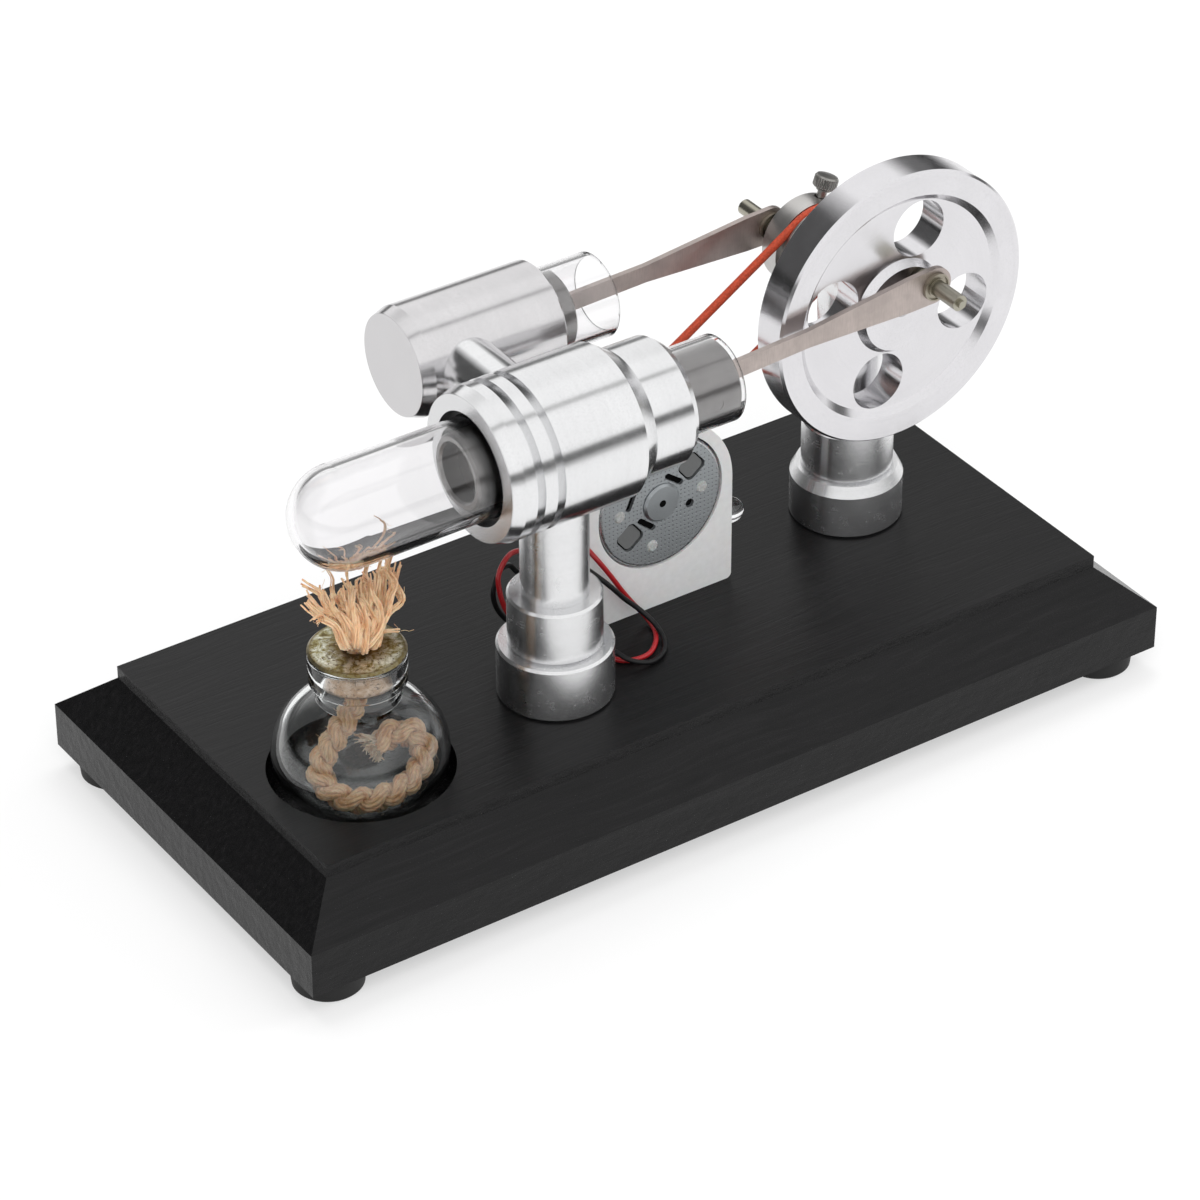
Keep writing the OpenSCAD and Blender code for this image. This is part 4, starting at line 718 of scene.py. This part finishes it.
def thumb():
    """A screw with a knurled, slightly domed head, along its own axis."""
    node = bpy.data.objects["thumb_screw"]
    points = [node.matrix_world @ v.co for v in node.data.vertices]
    along = [(p / MM - THUMB).dot(THUMB_WAY) for p in points]
    foot, top = min(along), max(along)
    r, under = HEAD_R, top - HEAD_H
    # radius, place along the axis, 1 where the knurl is
    rows = [(0, foot, 0), (0.6, foot, 0), (STEM_R, foot + 0.3, 0), (STEM_R, under - 0.5, 0),
            (SHOULDER_R, under - 0.4, 0), (SHOULDER_R, under, 0), (r - 0.35, under, 0),
            (r - 0.05, under + 0.25, 0), (r, under + 0.35, 1), (r, top - 0.5, 1),
            (r - 0.05, top - 0.4, 0), (r - 0.3, top - 0.12, 0), (r * 0.6, top - 0.02, 0),
            (0, top, 0)]
    turn = Vector((0, 0, 1)).rotation_difference(THUMB_WAY).to_matrix()
    sides = RIDGES * RIDGE_STEPS
    verts, rings = [], []
    for radius, a, cut in rows:
        ring = []
        for k in range(sides if radius else 1):
            w = 2 * math.pi * k / sides
            q = radius - (RIDGE_DEPTH if cut and k % RIDGE_STEPS >= RIDGE_STEPS / 2 else 0.0)
            ring.append(len(verts))
            verts.append((turn @ Vector((q * math.cos(w), q * math.sin(w), a)) + THUMB) * MM)
        rings.append(ring)
    faces = skin(zip(rings, rings[1:]), sides)
    obj = new_object("knurled_screw", verts, faces, thumb_steel, "thumb_screw", 28.0)
    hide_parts("thumb_screw")


def pin_cap(name, node, side, y, steel, body):
    """A cap that closes one end of a wrist pin's bore in line with the piston's skirt."""
    low, high = span(node)
    r = (high[2] - low[2]) / 2 + 0.02
    centre = ((low[0] + high[0]) / 2, y, (low[2] + high[2]) / 2)
    rows = [(0, SKIRT_R), (r * 0.5, math.sqrt(SKIRT_R ** 2 - r * r / 4)),
            (r, math.sqrt(SKIRT_R ** 2 - r * r)), (r, 6.0), (0, 6.0)]
    cap = lathe(name, [(q, side * a) for q, a in rows], "Y", centre, steel, body, sides=32)


thumb()
for body, node, y, steel in (("hot_piston", "hot_wrist_pin", HOT[1], hot_piston_steel),
                             ("cold_piston", "cold_wrist_pin", COLD[1], cold_piston_steel)):
    pin_cap(f"{node}_cap_a", node, -1, y, steel, body)
    pin_cap(f"{node}_cap_b", node, 1, y, steel, body)

# ---------------------------------------------------------------- inside of the motor's windows, painted shade in its openings
MOTOR_R = 12.2
WINDOW = MOTOR_R * 0.36


def plug(name, share, angle, size, material, corner=0.3, depth=0.06, node="motor_plate", end=1):
    """A thin rounded patch on the motor's front, seen through an opening of its plate.

    Its middle stands off the motor's axis by a share of the motor's radius.
    """
    a, off = math.radians(angle), share * MOTOR_R
    front = span(node)[end][1]
    u, v = Vector((math.cos(a), 0, math.sin(a))), Vector((-math.sin(a), 0, math.cos(a)))
    c = Vector((MOTOR[0] + off * math.cos(a), 0, MOTOR[2] + off * math.sin(a)))
    w, h = size[0] / 2, size[1] / 2
    k = min(w, h) * corner
    ring = []
    for cx, cy, a0 in ((w - k, h - k, 0), (k - w, h - k, 90), (k - w, k - h, 180),
                       (w - k, k - h, 270)):
        ring += arc(cx, cy, k, k, a0, a0 + 90, 6)
    verts, n = [], len(ring)
    for y in (front, front - depth):
        verts += [(c + u * p + v * q + Vector((0, y, 0))) * MM for p, q in ring]
    faces = [tuple(range(n)), tuple(range(2 * n - 1, n - 1, -1))]
    faces += [(i, (i + 1) % n, n + (i + 1) % n, n + i) for i in range(n)]
    new_object(name, verts, faces, material, "frame", 30.0)


# painted shade: a black rim just inside each window of the plate
for i, angle in enumerate((38, 218)):
    plug(f"motor_window_edge_shade_{i + 1}", 0.645, angle, (WINDOW * 0.97,) * 2, shade_black, 0.45, 0.08)
    # the part behind each window, its grey partly painted shade
    plug(f"motor_window_{i + 1}", 0.645, angle, (WINDOW * 0.86,) * 2, shaded_dark_plastic, 0.5, 0.3)
# painted shade: black patches in the plate's slots and eye, and in the hub's centre hole
for i, (share, angle) in enumerate(((0.365, 53), (0.365, 230), (0.52, 157))):
    plug(f"motor_slot_shade_{i + 1}", share, angle, (WINDOW / 4 * 0.96, WINDOW * 0.98), shade_black, 0.95)
plug("motor_eye_shade", 0.52, -22, (WINDOW * 0.36,) * 2, shade_black, 0.98)
plug("motor_hub_eye_shade", 0.0, 0, (1.3, 1.3), shade_black, 0.98, 0.02, "motor_hub", 0)

# ---------------------------------------------------------------- wires
WIRE_R = 0.45
# Routes from the motor's terminals round the hot post to the light, in millimetres
RED = [
    (-6.3, 7.4, 43.2), (-9.8, 6.8, 43.2), (-10.9, 3.4, 43), (-10.3, -0.2, 42.6), (-9, -3.2, 41),
    (-7.2, -4.7, 38.2), (-5.2, -5, 35.1), (-3.3, -5, 32), (-1.4, -5, 28.8), (0.6, -5.1, 25.7),
    (2.5, -6.1, 22.9), (2, -9.5, 22.2), (-0.1, -12.6, 22.2), (-3.1, -14.6, 22.2),
    (-6.7, -14.1, 22.2), (-9, -11.3, 22.2), (-10.5, -8, 22.2), (-12.4, -4.8, 22.3),
    (-15.1, -2.5, 23), (-18, -1.2, 25), (-20.3, -0.8, 27.8), (-22, -0.7, 31), (-23, -0.7, 34.5),
    (-23.2, -0.7, 38.2), (-20.9, -0.1, 40.7), (-17.8, 1.5, 39.7), (-15.8, 3.5, 37.4),
    (-14.1, 5.7, 34.9), (-12.4, 7.7, 32.4), (-10.2, 9.4, 29.9), (-7.4, 10.6, 27.9),
    (-4.1, 11.2, 26.5), (-0.5, 11.5, 25.7), (3.2, 11.4, 25.6), (6.8, 11.1, 26.1),
    (10.2, 10.5, 27.3), (13.3, 9.7, 29.1), (16.1, 8.5, 31.2), (18.2, 6.1, 33), (18.2, 2.4, 33)]
BLACK = [
    (-6.3, 7.4, 40.2), (-9.9, 7.2, 40.1), (-12.3, 4.7, 39.7), (-12.2, 1.1, 39.2), (-11, -2.2, 38.3),
    (-9, -4.6, 36.5), (-6.6, -5.8, 34), (-4.3, -6.2, 31.3), (-2, -6.3, 28.4), (0.4, -7, 25.8),
    (2, -9.3, 23.6), (1.7, -12.6, 22.3), (-0.5, -15.5, 22.2), (-3.9, -16.7, 22.3),
    (-7.1, -15.4, 23.2), (-8.6, -12.3, 24.1), (-9, -8.8, 23.3), (-10, -5.4, 22.4),
    (-12, -2.4, 22.2), (-14.6, 0.1, 22.6), (-17.5, 1.9, 23.9), (-20, 2.7, 26.4), (-21.8, 2.5, 29.6),
    (-22.6, 2, 33.1), (-21.2, 2.4, 36.2), (-18.3, 4.2, 35.5), (-16.2, 6.1, 33.3), (-14.3, 8, 30.8),
    (-12.1, 9.6, 28.3), (-9.5, 11, 26.2), (-6.4, 12, 24.6), (-3, 12.5, 23.5), (0.6, 12.7, 23),
    (4.3, 12.6, 23), (7.8, 12.1, 23.6), (11.1, 11.2, 24.9), (14, 10, 26.8), (16.4, 8.4, 29.1),
    (18.2, 6, 31.4), (18.2, 2.4, 31.4)]


def wire(name, node, points, material):
    """A lead along its route, as a curve that stands for the CAD node."""
    path = [p * MM for p in spline(points, 5)]
    data = bpy.data.curves.new(name, "CURVE")
    data.dimensions = "3D"
    data.bevel_depth = WIRE_R * MM
    data.bevel_resolution = 3
    data.use_fill_caps = True
    line = data.splines.new("POLY")
    line.points.add(len(path) - 1)
    for q, p in zip(line.points, path):
        q.co = (p.x, p.y, p.z, 1)
    data.materials.append(material)
    obj = bpy.data.objects.new(name, data)
    bpy.context.scene.collection.objects.link(obj)
    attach(obj, "frame")
    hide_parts(node)


wire("red_lead", "red_wire", RED, red_pvc)
wire("black_lead", "black_wire", BLACK, black_pvc)

# ---------------------------------------------------------------- wick
# Middle line of the braid from the stopper down into the bottle, in millimetres from LAMP
WICK = [
    (0, 0, 31.8), (0, 0, 28.4), (0, 0, 24.9), (-0.8, 0, 21.6), (-2.1, 0.1, 18.2), (-3.3, 1, 14.8),
    (-4.5, 2, 11.6), (-5.6, 2.2, 8.6), (-6.2, 0.8, 6.4), (-5.8, -1.8, 5.5), (-4.4, -4.2, 5.2),
    (-2, -5.8, 5.2), (0.9, -6.4, 5.4), (3.8, -6.2, 5.9), (6.5, -5.4, 7), (8.5, -4, 8.7),
    (8.9, -2.1, 10.6), (7.4, -0.6, 11.7), (5.1, 0.2, 11.5), (3, 0.4, 10.6)]

# Loose strands of the wick above the stopper: radius at the root, radius at the tip, then the
# way from the middle of the hole, in millimetres
STRANDS = [
    (0.62, 0.4, [(-2.5, -1, 2.5), (-3.1, 0.8, 5.9), (-3.7, 2.8, 7.7), (-4.2, 4.9, 9),
        (-5.3, 6.4, 10.1)]),
    (0.58, 0.38, [(-3.1, -1.7, 3), (-3.6, -0.2, 5.9), (-5, 1, 8.1), (-6.4, 2.5, 9.5),
        (-7, 4, 9.3)]),
    (0.6, 0.4, [(-3.6, -2.1, 3.4), (-4.4, -1.2, 6.2), (-5.9, -0.2, 7.8), (-7.7, 1.1, 8.5),
        (-8.2, 2.6, 9.4)]),
    (0.5, 0.32, [(-3.7, -2.3, 3.3), (-5, -2.2, 6.3), (-6.3, -1.7, 7.9), (-7.4, -0.9, 8.6),
        (-7.8, 0, 7.7)]),
    (0.6, 0.4, [(-1.8, -0.1, 1.7), (-1.8, 2.4, 4.5), (-1.7, 4.6, 5.9), (-1.3, 6.5, 6.4),
        (-0.9, 8, 6.6)]),
    (0.62, 0.42, [(-2.7, -2.1, 3), (-3.2, -0.8, 6.5), (-3.2, 0.6, 8.4), (-2.8, 2.1, 9.1),
        (-2.5, 3.4, 9.2)]),
    (0.66, 0.5, [(-1.8, -0.9, 2), (-1.4, 1, 4.7), (-1.2, 2.6, 6.9), (-0.7, 4.1, 7.4),
        (0, 5.6, 7.2)]),
    (0.64, 0.36, [(-2.4, -2.5, 2.7), (-2.2, -1.6, 6.2), (-1.5, 0, 8), (-0.9, 1.9, 9.1),
        (-0.2, 3.6, 9.9)]),
    (0.6, 0.34, [(-0.7, -0.3, 1.2), (0.6, 2.2, 3.3), (1.4, 4, 5), (2.3, 5.7, 6.1),
        (2.7, 7.2, 7.3)]),
    (0.66, 0.4, [(-1.9, -2.9, 2.6), (-1.6, -2.4, 6.4), (-0.6, -1, 8.3), (0, 0.7, 9.4),
        (1.2, 2.2, 10)]),
    (0.6, 0.36, [(-1, -2.1, 2), (0.2, -0.6, 4.6), (1.6, 1.2, 6.2), (2.6, 3.1, 7.4),
        (3.3, 4.8, 8.1)]),
    (0.6, 0.36, [(0.2, -0.7, 0.9), (2.3, 1.6, 3), (3.9, 3.6, 4.3), (4.9, 5.5, 5.2),
        (5.5, 7.2, 6.7)]),
    (0.62, 0.36, [(-0.8, -2.9, 2.1), (0.5, -2.2, 5), (1.8, -0.8, 6.8), (2.8, 1.1, 8.1),
        (3.6, 2.8, 10)]),
    (0.6, 0.36, [(0.4, -1.3, 1.2), (2.8, 0.6, 3.3), (4.3, 2.4, 4.8), (5.3, 4.3, 6.1),
        (6, 5.8, 7.6)]),
    (0.62, 0.42, [(0.6, -1.9, 1.4), (3.2, -0.6, 4.2), (5, 1, 6.1), (6.4, 2.9, 8), (7, 4.6, 9.7)]),
    (0.62, 0.42, [(1.4, -1.1, 0.6), (5.1, 1, 2.6), (7.1, 3, 4.1), (8.7, 5.1, 6.3),
        (9.4, 6.8, 8.3)]),
    (0.62, 0.42, [(0.9, -2.3, 1.3), (4.4, -1, 3.6), (6.4, 0.6, 5.4), (7.8, 2.5, 7.7),
        (8.6, 4.2, 10)]),
    (0.62, 0.42, [(2, -0.7, 0.2), (6.8, 2, 1), (9.4, 4, 2.3), (10.7, 6.1, 4.1), (11.5, 7.8, 6.9)]),
    (0.62, 0.42, [(1.6, -1.7, 0.7), (5.9, 0, 2.3), (8.5, 1.6, 3.6), (9.9, 3.5, 5.9),
        (10.9, 5.2, 8.8)]),
    (0.55, 0.3, [(0.2, -2.9, 2), (2.7, -2.2, 4.2), (4.1, -1, 6.4), (4.1, 0.7, 8.6),
        (4.7, 2.4, 10.4)]),
    (0.34, 0.24, [(0.3, 0.7, 0.2), (2.5, 2.3, 2.9), (7.3, 6.3, 4.2), (10.5, 9.1, 7.9),
        (10.6, 9.7, 11.8), (9.5, 9.9, 15.1)]),
    (0.34, 0.22, [(0.8, 0.7, 0), (4.2, 2.7, 2.7), (9.2, 6.3, 4.2), (12.6, 8.9, 6.5),
        (13.2, 9.5, 8.2), (12.3, 9.7, 10)]),
    (0.36, 0.24, [(-0.2, 1.1, 0.2), (0.9, 3.3, 4.1), (2.6, 6.7, 6.5), (3.5, 8.7, 8.9),
        (2.5, 9.1, 11)]),
    (0.36, 0.24, [(-0.6, 1.1, 0.3), (-0.5, 3.3, 4.7), (0.4, 6.5, 6.7), (0.8, 8.5, 8.9),
        (-0.2, 8.9, 11.2)]),
    (0.32, 0.22, [(0.2, 1.1, 0.1), (2, 3.3, 3.7), (5, 6.7, 5.6), (7.4, 8.7, 7.4),
        (6.6, 9.1, 9.8)]),
    (0.6, 0.42, [(2.4, -1.3, 0.5), (1.5, -1.2, 4.2), (0.1, -0.2, 6.8), (-0.5, 1.6, 7.9)]),
    (0.62, 0.42, [(1.3, -1.9, 0.7), (-0.5, -2, 5), (-1.7, -0.8, 7.3), (-2.1, 1.2, 8)]),
    (0.62, 0.42, [(0, -2.5, 1.2), (-2.2, -2.4, 5.1), (-3.1, -1, 7.2), (-3.3, 1, 8)]),
    (0.6, 0.4, [(-1.4, -2.7, 1.7), (-3.3, -2.4, 4.8), (-3.8, -0.8, 6.4), (-3.6, 1.2, 7.2)]),
    (0.58, 0.4, [(-2.6, -2.5, 2.2), (-3.7, -1.8, 4.6), (-4, -0.2, 5.7), (-3.8, 1.6, 6.1)]),
    (0.6, 0.4, [(2.2, -1.1, 0.7), (2.8, -0.8, 3.8), (2, 0.2, 6.6), (1.6, 2, 8)]),
    (0.6, 0.42, [(-0.7, -2.7, 1.6), (-0.3, -2.8, 5), (-0.4, -1.6, 7.4), (-0.4, 0.4, 8.2)]),
    (0.36, 0.22, [(1.6, -0.5, 0.3), (4.6, -1, 1.1), (7.2, -1.9, 0.9)])]

TOP = Vector((LAMP[0], LAMP[1], LAMP[2] + 31.6))  # middle of the hole in the stopper
BACK = Vector((0.5, 0.75, 0.0))  # the strands leave the hole towards its back
WIDER = 1.1  # the loop of the braid is this much wider than its middle line was measured
PLAIT_PITCH, YARN_PITCH = 10.5 * MM, 7.5 * MM
GRIP, EASE = 6.8, 6.0  # length of braid held slim by the stopper, and over which it widens
SHOULDER = 7.5  # above the belly's middle: from here up the braid is in the neck
FIBRE_R = 0.035 * MM
STOPPER_LIFT, BOTH_LIFTS = 2.6, 6.1  # a little more than the joints' limits
TUBE_KEEP = TUBE_R + 0.8


def clear_of_tube(p):
    """Keeps a point below the glass tube, also with the bottle and the stopper lifted."""
    raised = p + Vector((0, 0, BOTH_LIFTS))
    gap = raised - Vector((max(raised.x, TUBE_TIP), HOT[1], HOT[2]))
    return p + gap.normalized() * max(0.0, TUBE_KEEP - gap.length)


def threads(rnd, path, r0, r1, count, thin):
    """A loose bundle of fine threads round a path, closed at the root and open at the tip."""
    runs = []
    n = len(path)
    across = frames(path)
    for k in range(count):
        turn = 2 * math.pi * k / count + rnd.uniform(-0.3, 0.3)
        away = 0.0 if k == 0 else rnd.uniform(0.5, 0.75)
        twist = rnd.uniform(0.8, 2.2)
        reach = rnd.uniform(0.86, 1.0)
        stray = Vector([rnd.uniform(-1, 1) for _ in range(3)]) * 0.5
        line = []
        for i in range(max(4, round(n * reach))):
            t = i / (n - 1)
            r = r0 + (r1 - r0) * t
            w = turn + twist * 2.2 * t
            _, a, b = across[i]
            wave = Vector([rnd.uniform(-1, 1) for _ in range(3)]) * 0.03
            spot = path[i] + (a * math.cos(w) + b * math.sin(w)) * r * away * (1 + 0.5 * t ** 3)
            line.append(clear_of_tube(spot + wave + stray * t ** 4) * MM)
        fat = (thin * rnd.uniform(0.85, 1.15)) * MM
        runs.append((line, lambda s, f=fat: f * (1.0 - 0.45 * s ** 2), 500.0))
    return runs


def hairs(rnd, path, count, size):
    """Single fibres that stand off a path."""
    runs = []
    for _ in range(count):
        i = rnd.randrange(2, len(path) - 1)
        way = Vector([rnd.uniform(-1, 1) for _ in range(3)]).normalized()
        p, line = path[i].copy(), []
        for k in range(6):
            line.append(clear_of_tube(p) * MM)
            way = (way + Vector([rnd.uniform(-0.5, 0.5) for _ in range(3)])).normalized()
            p = p + way * (size * rnd.uniform(0.12, 0.25))
        runs.append((line, FIBRE_R, 0.0))
    return runs


def girth(s):
    """How thick the braid is at a length along it: slim where the stopper grips it."""
    return 0.8 + 0.36 * min(1.0, max(0.0, (s / MM - GRIP) / EASE))


def inside(p, margin):
    """Keeps a point, in metres, within the bottle's belly, also with the stopper lifted."""
    wide, tall = BOTTLE_R - WALL - margin, BELLY_H - WALL - margin
    for lift in (0.0, STOPPER_LIFT):
        middle = Vector((LAMP[0], LAMP[1], BELLY_Z - lift))
        q = p / MM - middle
        far = math.hypot(math.hypot(q.x, q.y) / wide, q.z / tall)
        if q.z < SHOULDER:
            p = (middle + q / max(1.0, far)) * MM
    return p


def braid():
    """Three plaits, each of a core with seven yarns round it, and loose fibres."""
    wider = [(x * WIDER, y * WIDER, z + 0.3 * (z < 9)) if z < 20 else (x, y, z) for x, y, z in WICK]
    path = [(p + Vector(LAMP)) * MM for p in spline(wider, 9)]
    across = frames(path)
    run, runs = [0.0], []
    for a, b in zip(path, path[1:]):
        run.append(run[-1] + (b - a).length)
    for k in range(3):
        line = []
        for p, (t, a, b), s in zip(path, across, run):
            w = 2 * math.pi * (s / PLAIT_PITCH + k / 3)
            off = a * (1.6 * math.sin(w)) + b * (0.95 * math.sin(2 * w))
            line.append(inside(p + off * girth(s) * MM, 1.4))
        runs.append((line, lambda t: 0.55 * MM * girth(t * run[-1]), 1400.0))
        for j in range(7):
            yarn_line = []
            for p, (t, a, b), s in zip(line, frames(line), run):
                w = 2 * math.pi * (s / YARN_PITCH + j / 7)
                yarn_line.append(p + (a * math.cos(w) + b * math.sin(w)) * 0.68 * girth(s) * MM)
            runs.append((yarn_line, lambda t: 0.34 * MM * girth(t * run[-1]), 900.0))
    rnd = random.Random(4)
    plaits = [[p / MM for p in points][12:] for points, _, _ in runs]
    for _ in range(200):
        for points, r, twist in hairs(rnd, rnd.choice(plaits), 1, 1.3):
            runs.append(([inside(p, 0.15) for p in points], r, twist))
    wick = tube_object("wick_braid", runs, yarn, "lamp_stopper", 8)
    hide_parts("wick_rope")


def tuft(rnd):
    """The frayed upper end of the wick."""
    runs = []
    for r0, r1, way in STRANDS:
        first = Vector(way[0])
        flat = Vector((first.x, first.y, 0))
        start = [flat * min(1.0, 1.1 / max(flat.length, 0.01)) + BACK * 1.4 + Vector((0, 0, -1.2))]
        if first.z > 1.6:
            start.append(flat.normalized() * 2.3 + BACK * 2 + Vector((0, 0, 1.2)))
        bent = [Vector(p) + Vector([rnd.uniform(-0.7, 0.7) for _ in range(3)]) for p in way]
        path = [TOP + p for p in spline(start + bent, 5)]
        runs += threads(rnd, path, r0 * 1.3, r1 * 1.3, 7 if r0 > 0.45 else 4, r0 * 0.46)
        runs += hairs(rnd, path, 3, 2.2)
    obj = tube_object("wick_fray", runs, yarn, "lamp_stopper", 6)
    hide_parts("wick_tuft")


def cut_end(rnd):
    """The pale puff at the lower end of the braid."""
    runs = []
    x, y, z = WICK[-1]
    end = Vector((x * WIDER, y * WIDER, z)) + Vector(LAMP)
    way = (Vector(WICK[-1]) - Vector(WICK[-2])).normalized()
    side = way.orthogonal().normalized()
    for k in range(22):
        a = 2 * math.pi * k / 11
        out = side * math.cos(a) + way.cross(side) * math.sin(a)
        lean = out * rnd.uniform(0.1, 1.5)
        size = rnd.uniform(1.2, 2.4)
        line = [end - way * 1.2 + out * 0.8, end + out * 1.2,
                end + (way + lean) * size * 0.5 + out, end + (way + lean) * size + out]
        runs += threads(rnd, spline(line, 4), 0.45, 0.8, 5, 0.16)
    obj = tube_object("wick_end_fray", runs, pale_yarn, "lamp_stopper", 6)


braid()
rnd = random.Random(11)
tuft(rnd)
cut_end(rnd)
